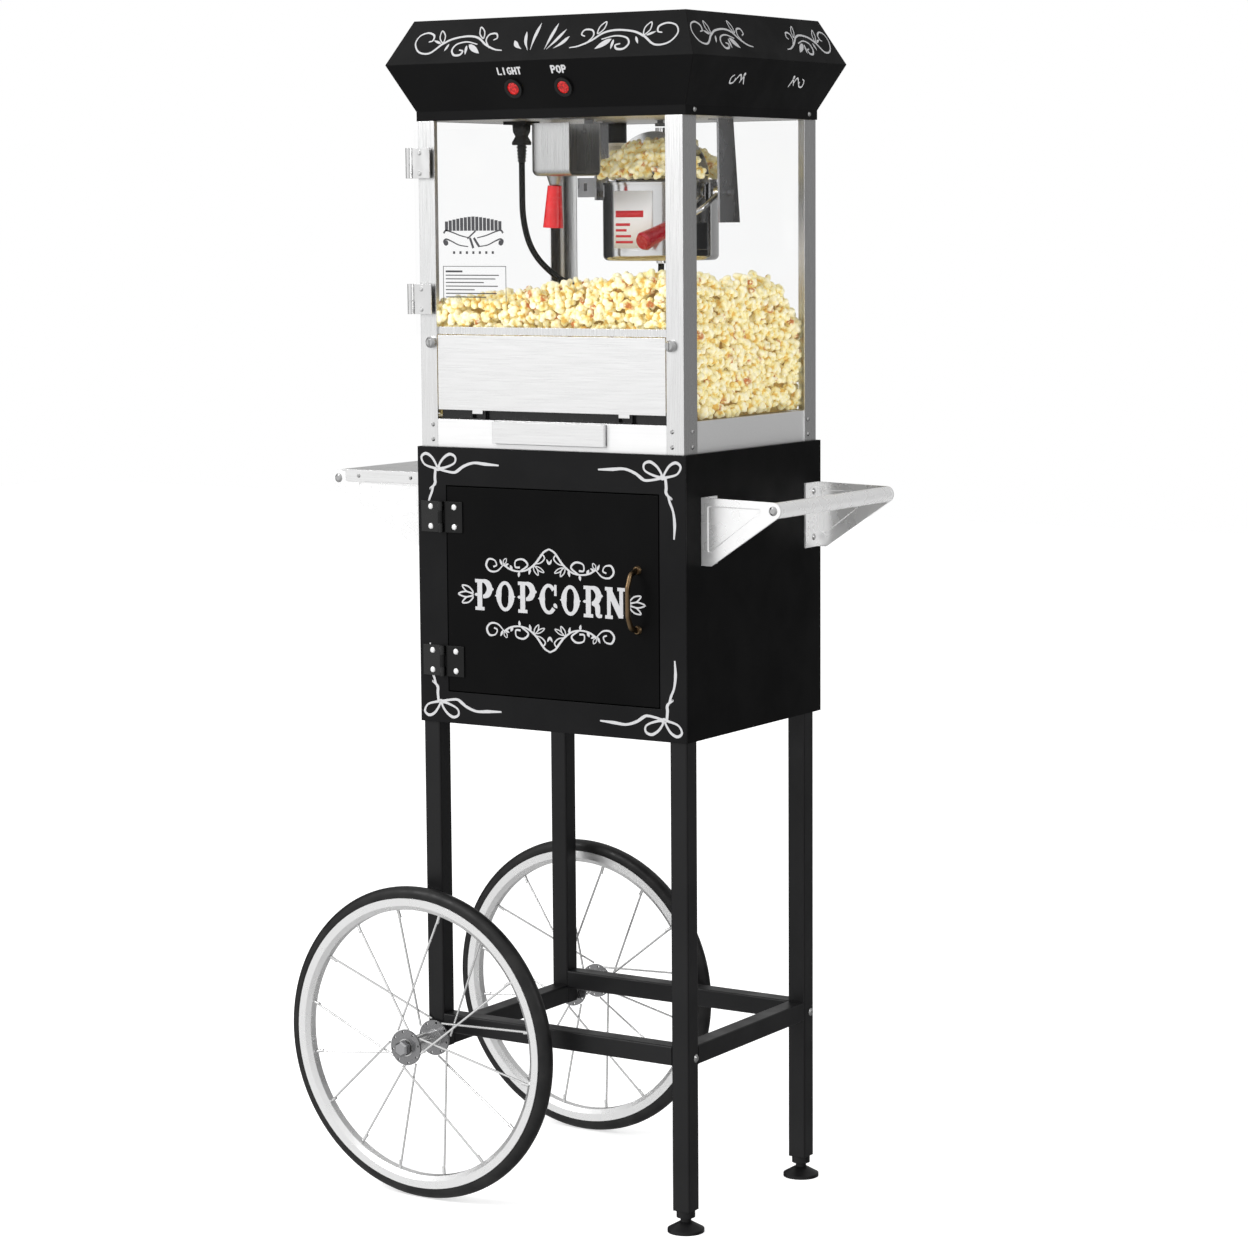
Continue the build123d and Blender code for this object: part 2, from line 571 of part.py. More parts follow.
with BuildPart() as deck_plate:
    block((-base_x + 2, base_x - 2), (-base_y + 6.2, base_y - 2), (DECK_Z - 3.0, DECK_Z - 1.5))
    with Locations((0, -60, DECK_Z - 2.25)):
        with GridLocations(22, 22, 14, 6):
            Cylinder(5.0, 4, mode=Mode.SUBTRACT)
save(deck_plate, "deck_plate")

with BuildPart() as glass_panes:
    for side in (-1, 1):
        x = (side * (CAB_X - SHEET - 0.1), side * (CAB_X - SHEET - 0.1 - GLASS))
        block((min(x), max(x)), (-CAB_Y + 9, CAB_Y - 6), (DECK_Z + 0.2, CAB_Z1))
    back_x = CAB_X - SHEET - GLASS - 0.4
    block((-back_x, back_x), (CAB_Y - SHEET - 0.1 - GLASS, CAB_Y - SHEET - 0.1), (DECK_Z + 0.2, CAB_Z1))
save(glass_panes, "glass_panes")

with BuildPart() as glass_door:
    block((GLASS_DOOR_X0, GLASS_DOOR_X1), (glass_y0, glass_y1), (GLASS_DOOR_Z0, GLASS_DOOR_Z1))
save(glass_door, "glass_door")

with BuildPart() as drop_panel:
    block((-PANEL_X, PANEL_X), (-CAB_Y, -CAB_Y + SHEET), (PANEL_Z0, PANEL_Z1))
    block((-PANEL_X, PANEL_X), (-CAB_Y, -CAB_Y + 6.5), (PANEL_Z1 - SHEET, PANEL_Z1))
    for side in (-1, 1):
        tab_x = (side * PANEL_TAB_X - 8, side * PANEL_TAB_X + 8)
        block(tab_x, (-CAB_Y, -CAB_Y + SHEET), (PANEL_AXIS_Z - 2.0, PANEL_Z0 + 1.0))
        rod(
            (side * (PANEL_TAB_X - 8), PANEL_AXIS_Y, PANEL_AXIS_Z),
            (side * (PANEL_TAB_X + 8), PANEL_AXIS_Y, PANEL_AXIS_Z),
            2.5,
        )
        rod(
            (side * (PANEL_TAB_X - 9), PANEL_AXIS_Y, PANEL_AXIS_Z),
            (side * (PANEL_TAB_X + 9), PANEL_AXIS_Y, PANEL_AXIS_Z),
            1.2 + RUNNING_FIT,
            Mode.SUBTRACT,
        )
save(drop_panel, "drop_panel")


def make_knob(name, knob_x):
    """Turn knob: domed head in front of the post and a stud through it."""
    with BuildPart() as knob:
        rod((knob_x, -CAB_Y - GAP, KNOB_Z), (knob_x, -CAB_Y - 4, KNOB_Z), 7.3)
        taper((knob_x, -CAB_Y - 4, KNOB_Z), (knob_x, -CAB_Y - 6.5, KNOB_Z), 7.3, 4.5)
        rod((knob_x, -CAB_Y - GAP, KNOB_Z), (knob_x, -CAB_Y + 8, KNOB_Z), KNOB_STUD_R)
        slot_y = (-CAB_Y - 7, -CAB_Y - 5.3)
        block((knob_x - 0.6, knob_x + 0.6), slot_y, (KNOB_Z - 8, KNOB_Z + 8), Mode.SUBTRACT)
    save(knob, name)


make_knob("knob_left", -KNOB_X)
make_knob("knob_right", KNOB_X)

drawer_body_x = DRAWER_X - 3.0
with BuildPart() as kernel_drawer:
    # folded front that stands proud of the apron
    block((-DRAWER_X, DRAWER_X), (-CAB_Y - 6.0, -CAB_Y - 0.2), (DRAWER_Z0, DRAWER_Z1))
    block(
        (-DRAWER_X + SHEET, DRAWER_X - SHEET),
        (-CAB_Y - 4.5, CAB_Y),
        (DRAWER_Z0 + SHEET, DRAWER_Z1 - SHEET),
        Mode.SUBTRACT,
    )
    block((-drawer_body_x, drawer_body_x), (-CAB_Y - 5.0, -12.0), (DRAWER_Z0 + 2, DRAWER_Z1 - 3))
    block(
        (-drawer_body_x + 1.2, drawer_body_x - 1.2),
        (-CAB_Y - 3.6, -13.2),
        (DRAWER_Z0 + 3.2, DRAWER_Z1 - SHEET),
        Mode.SUBTRACT,
    )
save(kernel_drawer, "kernel_drawer")

# ---------------------------------------------------------------- canopy
slope_rise = CANOPY[2][2] - CANOPY[1][2]
slope_run = CANOPY[2][1] - CANOPY[1][1]
slope_length = sqrt(slope_rise**2 + slope_run**2)
slope_normal = (0, -slope_rise / slope_length, -slope_run / slope_length)
switch_y = -CANOPY[1][1] - slope_run * (SWITCH_Z - CANOPY[1][2]) / slope_rise


def switch_plane(x):
    """Plane on the canopy's lower slope, with its normal pointing out."""
    return Plane(origin=(x, switch_y, SWITCH_Z), x_dir=(1, 0, 0), z_dir=slope_normal)


def disc(plane, radius, low, high, mode=Mode.ADD):
    """A round slice along the plane's normal, from low to high."""
    with BuildSketch(plane.offset(low)) as section:
        Circle(radius)
    extrude(section.sketch, amount=high - low, mode=mode)


def canopy_body(inset, mode):
    """The canopy's solid shape, band and two slopes, drawn in by inset."""
    for low, high in zip(CANOPY[:-1], CANOPY[1:]):
        drop_low = 1.0 if mode == Mode.SUBTRACT and low is CANOPY[0] else 0.0
        drop_high = inset if mode == Mode.SUBTRACT and high is CANOPY[-1] else 0.0
        with BuildSketch(Plane.XY.offset(low[2] - drop_low)) as lower:
            Rectangle(2 * (low[0] - inset), 2 * (low[1] - inset))
        with BuildSketch(Plane.XY.offset(high[2] - drop_high)) as upper:
            Rectangle(2 * (high[0] - inset), 2 * (high[1] - inset))
        loft([lower.sketch.face(), upper.sketch.face()], mode=mode)


with BuildPart() as canopy_shell:
    canopy_body(0.0, Mode.ADD)
    canopy_body(CANOPY_WALL, Mode.SUBTRACT)
    for x in SWITCH_X:
        disc(switch_plane(x), 10.05, -6, 3, Mode.SUBTRACT)
save(canopy_shell, "canopy_shell")

with BuildPart() as switch_bezels:
    for x in SWITCH_X:
        disc(switch_plane(x), 12.5, 0, 3.0)
        disc(switch_plane(x), 10.0, -14, 0)
        disc(switch_plane(x), 8.6, -10, 4, Mode.SUBTRACT)
        disc(switch_plane(x), 1.0, -14, -9, Mode.SUBTRACT)
save(switch_bezels, "switch_bezels")


def make_switch(name, x):
    """Round lens of a rocker switch, on a cross pin inside its bezel."""
    plane = switch_plane(x)
    with BuildPart() as switch:
        disc(plane, 8.0, -3.5, 2.6)
        with Locations(plane.offset(2.6)):
            Cone(8.0, 5.8, 1.2, align=(Align.CENTER, Align.CENTER, Align.MIN))
        # ends of the pin that it rocks on
        pin = plane.origin
        rod((pin.X - 8.4, pin.Y, pin.Z), (pin.X + 8.4, pin.Y, pin.Z), 1.2)
    save(switch, name)


make_switch("switch_light", SWITCH_X[0])
make_switch("switch_pop", SWITCH_X[1])

MOTOR_SHAFT_R = 4.0
with BuildPart() as ceiling_plate:
    ceiling_y = CANOPY[0][1] - CANOPY_WALL - 0.3
    block((-CAB_X, CAB_X), (-ceiling_y, ceiling_y), (CEILING_Z, CEILING_Z + SHEET))
    rod((KX, KY, CEILING_Z - 1), (KX, KY, CEILING_Z + 3), MOTOR_SHAFT_R + 1.0, Mode.SUBTRACT)
save(ceiling_plate, "ceiling_plate")

motor_z = CEILING_Z + SHEET
with BuildPart() as gear_motor:
    block((KX - 32, KX + 32), (KY - 26, KY + 26), (motor_z, motor_z + 28))
    rod((KX + 8, KY, motor_z + 28), (KX + 8, KY, motor_z + 62), 22.0)
    rod((KX, KY, motor_z - 1), (KX, KY, motor_z + 14), MOTOR_SHAFT_R + RUNNING_FIT, Mode.SUBTRACT)
save(gear_motor, "gear_motor")

AGITATOR_TOP = 1392.0
with BuildPart() as drive_shaft:
    rod((KX, KY, AGITATOR_TOP + 2.0), (KX, KY, motor_z + 13), MOTOR_SHAFT_R)
    rod((KX, KY, AGITATOR_TOP + 2.0), (KX, KY, AGITATOR_TOP + 6.0), 7.0)
save(drive_shaft, "drive_shaft")

LAMP_X, LAMP_Y = -75.0, 110.0
with BuildPart() as electrical_fittings:
    # outlet for the kettle's plug, lampholder, and the cord gland at the back of the canopy
    block((PLUG_X - 17, PLUG_X + 17), (PLUG_Y - 17, PLUG_Y + 17), (PLUG_Z1, CEILING_Z))
    rod((LAMP_X, LAMP_Y, CEILING_Z - 26), (LAMP_X, LAMP_Y, CEILING_Z), 15.0)
    rod((LAMP_X, LAMP_Y, CEILING_Z - 27), (LAMP_X, LAMP_Y, CEILING_Z - 6), 12.6, Mode.SUBTRACT)
    gland_y = CANOPY[1][1] + slope_run * 0.5
    gland_z = CANOPY[1][2] + slope_rise * 0.5
    gland_plane = Plane(origin=(150, gland_y, gland_z), z_dir=(0, -slope_normal[1], slope_normal[2]))
    disc(gland_plane, 9.0, 0, 4.0)
    disc(gland_plane, 6.5, 4.0, 12.0)
    disc(gland_plane, 3.6, 1.0, 13.0, Mode.SUBTRACT)
save(electrical_fittings, "electrical_fittings")

with BuildPart() as lamp_bulb:
    rod((LAMP_X, LAMP_Y, CEILING_Z - 30), (LAMP_X, LAMP_Y, CEILING_Z - 7), 12.5)
    taper((LAMP_X, LAMP_Y, CEILING_Z - 40), (LAMP_X, LAMP_Y, CEILING_Z - 30), 20.0, 12.5)
    with Locations((LAMP_X, LAMP_Y, CEILING_Z - 48)):
        Sphere(22.0)
save(lamp_bulb, "lamp_bulb")

# ---------------------------------------------------------------- kettle and its hangers
HANGER = 3.0
with BuildPart() as kettle_hangers:
    # left strap with its pin bracket, right tapered strap
    for x, y_top, y_low, low_z in (
        (LEFT_HANGER_X, (25, 55), (25, 55), 1300.0),
        (RIGHT_HANGER_X, (15, 52), (18, 68), 1270.0),
    ):
        plane = Plane(origin=(x - HANGER / 2, 0, 0), x_dir=(0, 1, 0), z_dir=(1, 0, 0))
        with BuildSketch(plane) as strap:
            with BuildLine():
                Polyline(
                    (y_top[0], CEILING_Z),
                    (y_top[1], CEILING_Z),
                    (y_low[1], low_z),
                    (y_low[0], low_z),
                    close=True,
                )
            make_face()
            with Locations((KY, TILT_Z)):
                Circle(4.0 + RUNNING_FIT, mode=Mode.SUBTRACT)
        extrude(strap.sketch, amount=HANGER)
        foot = (x - 14, x - HANGER / 2) if x > 0 else (x + HANGER / 2, x + 12)
        block(foot, y_top, (CEILING_Z - 2, CEILING_Z))
    block((LEFT_HANGER_X - 28, LEFT_HANGER_X - HANGER / 2), (25, 28), (1304, 1329))
    block((LEFT_HANGER_X - 28, LEFT_HANGER_X - 26), (25, 52), (1304, 1329))
    block((LEFT_HANGER_X - 18, LEFT_HANGER_X - 13), (24, 29), (1312, 1322), Mode.SUBTRACT)
save(kettle_hangers, "kettle_hangers")

with BuildPart() as kettle_pot:
    rod((KX, KY, POT_Z0), (KX, KY, KETTLE_Z1), KETTLE_R)
    rod((KX, KY, KETTLE_Z1 - 3), (KX, KY, KETTLE_Z1), KETTLE_R + 1.6)
    rod((KX, KY, POT_Z0 + 2.5), (KX, KY, KETTLE_Z1 + 1), KETTLE_R - 1.5, Mode.SUBTRACT)
save(kettle_pot, "kettle_pot")

with BuildPart() as kettle_base:
    rod((KX, KY, KETTLE_Z0), (KX, KY, POT_Z0), KETTLE_R)
    fillet(kettle_base.edges().group_by(Axis.Z)[0], 7.0)
    rod((KX, KY, KETTLE_Z0 - GLAND_H), (KX, KY, KETTLE_Z0 + 1), 6.0)
save(kettle_base, "kettle_base")

ARM_OUT = KETTLE_R + 5.0
EAR_X = 62.0
LEFT_PIN_END = LEFT_HANGER_X - 10
RIGHT_PIN_END = RIGHT_HANGER_X + 7
with BuildPart() as kettle_bridge:
    block((KX - ARM_OUT, KX + ARM_OUT), (KY - 4.5, KY + 4.5), (KETTLE_Z1 + 0.02, KETTLE_Z1 + 3))
    for side in (-1, 1):
        arm_x = (KX + side * (ARM_OUT - 3), KX + side * ARM_OUT)
        block((min(arm_x), max(arm_x)), (KY - 8, KY + 8), (TILT_Z - 9, KETTLE_Z1 + 3))
        ear_x = (KX + side * EAR_X, KX + side * (EAR_X + 3))
        block((min(ear_x), max(ear_x)), (KY - 10.5, KY + 10.5), (KETTLE_Z1 + 0.02, LID_HINGE_Z + 2.5))
        pin_y = KY + side * LID_HINGE_Y
        rod((KX - EAR_X, pin_y, LID_HINGE_Z), (KX + EAR_X, pin_y, LID_HINGE_Z), 1.2)
    rod((KX - ARM_OUT, KY, TILT_Z), (LEFT_PIN_END, KY, TILT_Z), 4.0)
    rod((KX + ARM_OUT, KY, TILT_Z), (RIGHT_PIN_END, KY, TILT_Z), 4.0)
    rod((KX, KY, KETTLE_Z1 - 1), (KX, KY, KETTLE_Z1 + 4), 3.0 + RUNNING_FIT, Mode.SUBTRACT)
save(kettle_bridge, "kettle_bridge")

LID_R = 69.0


def make_lid(name, side):
    """Half-round lid, standing open: front is -1, rear is +1."""
    hinge = (KX, KY + side * LID_HINGE_Y, LID_HINGE_Z)
    lean = radians(LID_OPEN)
    outward = (0, side * cos(lean), sin(lean))
    normal = (0, -side * sin(lean), cos(lean))
    plane = Plane(origin=hinge, x_dir=(1, 0, 0), z_dir=normal)
    grow = 1 if plane.y_dir.dot(Vector(*outward)) > 0 else -1
    with BuildPart() as lid:
        with BuildSketch(plane.offset(-0.6)) as outline:
            with Locations((0, -grow * LID_HINGE_Y)):
                Circle(LID_R)
            with Locations((0, grow * (5.0 - 100.0))):
                Rectangle(400, 200, mode=Mode.SUBTRACT)
            with Locations((0, grow * 3.5)):
                Rectangle(2 * (EAR_X - 1.5), 4.0)
        extrude(outline.sketch, amount=1.2)
        rod((KX - EAR_X + 1, hinge[1], hinge[2]), (KX + EAR_X - 1, hinge[1], hinge[2]), 2.4)
        pin_start = (KX - EAR_X, hinge[1], hinge[2])
        pin_end = (KX + EAR_X, hinge[1], hinge[2])
        rod(pin_start, pin_end, 1.2 + RUNNING_FIT, Mode.SUBTRACT)
    save(lid, name)


make_lid("kettle_lid_front", -1)
make_lid("kettle_lid_rear", 1)

with BuildPart() as agitator:
    rod((KX, KY, POT_Z0 + 5), (KX, KY, AGITATOR_TOP), 3.0)
    rod((KX, KY, AGITATOR_TOP - 10), (KX, KY, AGITATOR_TOP), 6.5)
    for turn in (0, 90):
        with Locations(Location((KX, KY, POT_Z0 + 7), (0, 0, turn))):
            Box(124, 5, 4)
save(agitator, "agitator")

CRANK_X = RIGHT_HANGER_X - 12
grip_start = Vector(104, -22, 1270)
grip_end = Vector(89, -86, 1246)
grip_way = (grip_end - grip_start).normalized()
with BuildPart() as tilt_rod:
    rod((CRANK_X - 5, KY, TILT_Z), (CRANK_X + 5, KY, TILT_Z), 9.0)
    rod((CRANK_X - 6, KY, TILT_Z), (CRANK_X + 6, KY, TILT_Z), 4.02, Mode.SUBTRACT)
    with BuildLine() as rod_line:
        FilletPolyline(
            (CRANK_X, KY - 7.5, TILT_Z - 3),
            (CRANK_X - 2, KY - 40, TILT_Z - 20),
            grip_start - grip_way * 12,
            grip_start + grip_way * 8,
            radius=10,
        )
    with BuildSketch(Plane(origin=rod_line.line @ 0, z_dir=rod_line.line % 0)):
        Circle(3.5)
    sweep(path=rod_line.line)
save(tilt_rod, "tilt_rod")

with BuildPart() as tilt_grip:
    rod(tuple(grip_start), tuple(grip_start + grip_way * 4), 8.0)
    taper(tuple(grip_start + grip_way * 4), tuple(grip_end - grip_way * 4), 8.5, 12.0)
    taper(tuple(grip_end - grip_way * 4), tuple(grip_end), 12.0, 9.5)
    rod(tuple(grip_start - grip_way * 1), tuple(grip_start + grip_way * 8), 3.52, Mode.SUBTRACT)
save(tilt_grip, "tilt_grip")

# ---------------------------------------------------------------- kettle cord and plug
# sections of the plug's body from the outlet down: drop below the top, width and depth
PLUG_BODY = ((0.0, 21.0, 17.0), (9.0, 20.0, 16.0), (15.0, 15.0, 13.0), (23.0, 22.0, 19.0), (26.0, 21.0, 18.0))
RELIEF_Z1 = PLUG_Z1 - PLUG_BODY[-1][0]
RIBS = 5
with BuildPart() as kettle_plug:
    for upper, lower in zip(PLUG_BODY, PLUG_BODY[1:]):
        faces = []
        for drop, width, depth in (upper, lower):
            with BuildSketch(Plane.XY.offset(PLUG_Z1 - drop)) as body_section:
                with Locations((PLUG_X, PLUG_Y)):
                    RectangleRounded(width, depth, 4)
            faces.append(body_section.sketch.face())
        loft(faces)
    # ribbed strain relief down to the cord
    taper((PLUG_X, PLUG_Y, PLUG_Z0), (PLUG_X, PLUG_Y, RELIEF_Z1), 4.4, 5.6)
    rib_step = (RELIEF_Z1 - PLUG_Z0) / RIBS
    for rib in range(RIBS):
        rib_z = PLUG_Z0 + rib * rib_step
        rod((PLUG_X, PLUG_Y, rib_z), (PLUG_X, PLUG_Y, rib_z + 0.6 * rib_step), 5.4 + 0.3 * rib)
save(kettle_plug, "kettle_plug")

cord_route = [
    (PLUG_X, PLUG_Y, PLUG_Z0),
    (PLUG_X, PLUG_Y, 1316),
    (-121, -43, 1275),
    (-112, -37, 1234),
    (-84, -28, 1203),
    (-48, -18, 1184),
    (-10, -4, 1170),
    (19, 14, 1166),
    (36, 31, 1178),
    (KX, KY, 1198),
    (KX, KY, KETTLE_Z0 - GLAND_H - GAP),
]


def cord_radii(points):
    """The largest tangent arc that each corner of a route leaves room for."""
    radii = []
    for before, here, after in zip(points, points[1:], points[2:]):
        run_in = Vector(*here) - Vector(*before)
        run_out = Vector(*after) - Vector(*here)
        turn = radians(run_in.get_angle(run_out))
        radii.append(0.45 * min(run_in.length, run_out.length) / tan(turn / 2))
    return radii


with BuildPart() as kettle_cord:
    with BuildLine() as cord_line:
        FilletPolyline(*cord_route, radius=cord_radii(cord_route))
    with BuildSketch(Plane(origin=cord_line.line @ 0, z_dir=cord_line.line % 0)):
        Circle(CORD_R)
    sweep(path=cord_line.line)
save(kettle_cord, "kettle_cord")
print("cord length", round(cord_line.wire().length), "radii", [round(r) for r in cord_radii(cord_route)])

# ---------------------------------------------------------------- scoop
scoop_plane = Plane.XY.offset(SCOOP_Z0)
scoop_grip_top = Vector(-29, SCOOP_Y, SCOOP_Z0 - 12)
scoop_grip_low = Vector(-32, SCOOP_Y, 1265)
scoop_grip_way = (scoop_grip_top - scoop_grip_low).normalized()


def scoop_trough(wall, end):
    """Trough of the scoop `wall` inside its outline, with rounded back corners and floor."""
    y0, y1 = SCOOP_Y - SCOOP_HALF + wall, SCOOP_Y + SCOOP_HALF - wall
    back = SCOOP_X0 + wall
    with BuildPart() as trough:
        with BuildSketch(scoop_plane.offset(wall)) as outline:
            with BuildLine():
                Polyline((end, y0), (back, y0), (back, y1), (end, y1), close=True)
            make_face()
            fillet(outline.vertices().group_by(Axis.X)[0], 20.0 - wall)
        extrude(amount=SCOOP_Z1 - SCOOP_Z0)
        floor_edges = trough.faces().sort_by(Axis.Z)[0].edges()
        fillet([edge for edge in floor_edges if edge.center().X < end - 1], 8.0 - wall)
    return trough.part


with BuildPart() as scoop_bowl:
    add(scoop_trough(0.0, SCOOP_X1))
    add(scoop_trough(1.2, SCOOP_X1 + 2.0), mode=Mode.SUBTRACT)
    taper(tuple(scoop_grip_top), tuple(scoop_grip_top + scoop_grip_way * 12.8), 6.5, 11.0)
    rod(
        (PEG_X, SCOOP_Y + SCOOP_HALF - 3, PEG_Z),
        (PEG_X, SCOOP_Y + SCOOP_HALF + 3, PEG_Z),
        2.0 + RUNNING_FIT,
        Mode.SUBTRACT,
    )
save(scoop_bowl, "scoop_bowl")

with BuildPart() as scoop_grip:
    taper(tuple(scoop_grip_low), tuple(scoop_grip_top), 13.0, 9.0)
save(scoop_grip, "scoop_grip")

with BuildPart() as scoop_peg:
    rod(
        (PEG_X, SCOOP_Y + SCOOP_HALF - 7, PEG_Z),
        (PEG_X, SCOOP_Y + SCOOP_HALF + 11, PEG_Z),
        2.0,
    )
    strap_y = SCOOP_Y + SCOOP_HALF + 9
    block((PEG_X - 7, PEG_X + 7), (strap_y, strap_y + 2), (PEG_Z - 6, CEILING_Z))
save(scoop_peg, "scoop_peg")

# ---------------------------------------------------------------- heap of popcorn on the deck
HEAP_X, HEAP_Y0, HEAP_Y1 = 189.0, -157.0, 157.0
HEAP_Z0, HOLLOW_Z = DECK_Z - 1.2, 1140.0
with BuildPart() as popcorn_heap:
    block((-HEAP_X, HEAP_X), (HEAP_Y0, HEAP_Y1), (HEAP_Z0, HOLLOW_Z))
    # ridges around the hollow that the kettle and its handle swing through
    block((-HEAP_X, HEAP_X), (HEAP_Y0, -108.0), (HOLLOW_Z, 1182.0))
    block((-HEAP_X, -135.0), (-108.0, HEAP_Y1), (HOLLOW_Z, 1160.0))
    block((128.0, HEAP_X), (-108.0, 95.0), (HOLLOW_Z, 1190.0))
save(popcorn_heap, "popcorn_heap")

# ---------------------------------------------------------------- screws and bolts of the frame
with BuildPart() as frame_screws:
    for side in (-1, 1):
        for z in (995.5, 1014.5):
            screw_head((side * 181.0, -CAB_Y, z), (0, -1, 0), 3.0)
            for y in (-144.5, 144.5):
                screw_head((side * CAB_X, y, z - 0.5), (side, 0, 0), 3.0)
        for y in (-142.0, 142.0):
            screw_head((side * CANOPY[0][0], y, 1408.0), (side, 0, 0), 3.4)
    for y in (BAR_Y0 + 12, BAR_Y1 - 14):
        for z in (860.0, 920.0):
            screw_head((BOX_X + 2.5, y, z), (1, 0, 0), 4.5)
    for y in (-SHELF_Y + 14, SHELF_Y - 14):
        for z in (868.0, 928.0):
            screw_head((-BOX_X - 2.5, y, z), (-1, 0, 0), 4.5)
    # bolts through the legs at the stretchers
    for y in (UNDER_Y - LEG_Y + 6.5, UNDER_Y + LEG_Y + 5.0):
        screw_head((LEG_X + TUBE / 2, y, STRETCHER_Z - 3.5), (1, 0, 0), 5.5)
    # end bolts of the bars, and the shelf's rivets
    for x, z, y0, y1 in bar_ends:
        screw_head((x, y0, z), (0, -1, 0), 6.0)
        screw_head((x, y1, z), (0, 1, 0), 6.0)
    for x in (-305.0, -221.0):
        screw_head((x, -SHELF_Y - SHEET, 943.5), (0, -1, 0), 2.8)
        screw_head((x, SHELF_Y + SHEET, 943.5), (0, 1, 0), 2.8)
save(frame_screws, "frame_screws")
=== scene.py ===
"""Looks of the popcorn cart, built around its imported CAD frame.

Everything is in metres in the part's frame: z = 0 is the floor, the door side faces -Y and
the push bar is at +X. Artwork and small pieces are drawn in millimetres on their own face
and scaled by MM.
"""

import json
import math

import bmesh
import bpy
import numpy as np
from mathutils import Matrix, Vector


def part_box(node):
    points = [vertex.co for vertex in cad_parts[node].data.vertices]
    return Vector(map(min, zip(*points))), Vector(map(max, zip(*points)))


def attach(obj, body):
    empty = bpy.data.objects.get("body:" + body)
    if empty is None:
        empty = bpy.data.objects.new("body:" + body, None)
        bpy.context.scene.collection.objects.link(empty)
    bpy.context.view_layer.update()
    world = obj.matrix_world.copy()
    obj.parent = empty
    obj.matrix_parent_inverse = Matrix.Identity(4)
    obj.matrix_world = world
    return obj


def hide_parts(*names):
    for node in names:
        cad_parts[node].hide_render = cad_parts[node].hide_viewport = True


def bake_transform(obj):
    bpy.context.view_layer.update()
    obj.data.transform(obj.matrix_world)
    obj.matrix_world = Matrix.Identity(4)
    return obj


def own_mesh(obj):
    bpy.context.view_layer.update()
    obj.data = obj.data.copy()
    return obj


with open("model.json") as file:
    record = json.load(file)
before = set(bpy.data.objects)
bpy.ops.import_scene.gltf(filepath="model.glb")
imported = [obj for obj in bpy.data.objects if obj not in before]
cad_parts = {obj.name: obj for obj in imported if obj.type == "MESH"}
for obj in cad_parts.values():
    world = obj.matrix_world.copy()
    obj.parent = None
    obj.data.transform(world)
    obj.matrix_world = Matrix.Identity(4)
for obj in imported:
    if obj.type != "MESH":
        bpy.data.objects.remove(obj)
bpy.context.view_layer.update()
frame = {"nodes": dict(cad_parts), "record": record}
nodes = frame["nodes"]
MM = 0.001
rng = np.random.default_rng(7)


# ---------------- small helpers
def add_object(name, data, body):
    """Link a new object and let it ride on a CAD body."""
    made = bpy.data.objects.new(name, data)
    bpy.context.scene.collection.objects.link(made)
    if body:
        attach(made, body)
    return made


def mesh_piece(name, verts, faces, material, body, smooth=True):
    """A mesh object from vertex rows and face index lists."""
    mesh = bpy.data.meshes.new(name)
    mesh.from_pydata(verts, [], faces)
    mesh.materials.append(material)
    mesh.polygons.foreach_set("use_smooth", [smooth] * len(mesh.polygons))
    mesh.update()
    made = add_object(name, mesh, body)
    return made


def tube(points, radius, sides):
    """Vertices and faces of a round tube along points, with capped ends."""
    count = len(points)
    verts, faces = [], []
    side = (points[1] - points[0]).orthogonal().normalized()
    for i, point in enumerate(points):
        along = (points[min(i + 1, count - 1)] - points[max(i - 1, 0)]).normalized()
        side = (side - along * side.dot(along)).normalized()
        other = along.cross(side)
        for k in range(sides):
            turn = 2 * math.pi * k / sides
            verts.append(point + (side * math.cos(turn) + other * math.sin(turn)) * radius)
    for i in range(count - 1):
        for k in range(sides):
            a, b = i * sides + k, i * sides + (k + 1) % sides
            faces.append((a, b, b + sides, a + sides))
    faces.append(tuple(reversed(range(sides))))
    faces.append(tuple((count - 1) * sides + k for k in range(sides)))
    return verts, faces


# ---------------- materials
def add_node(tree, kind, *sources, **settings):
    """New node; each source is linked to the input in its place, or is its value; None skips it."""
    node = tree.nodes.new("ShaderNode" + kind)
    for key, value in settings.items():
        setattr(node, key, value)
    for socket, source in zip(node.inputs, sources):
        if isinstance(source, bpy.types.NodeSocket):
            tree.links.new(source, socket)
        elif source is not None:
            socket.default_value = source
    return node


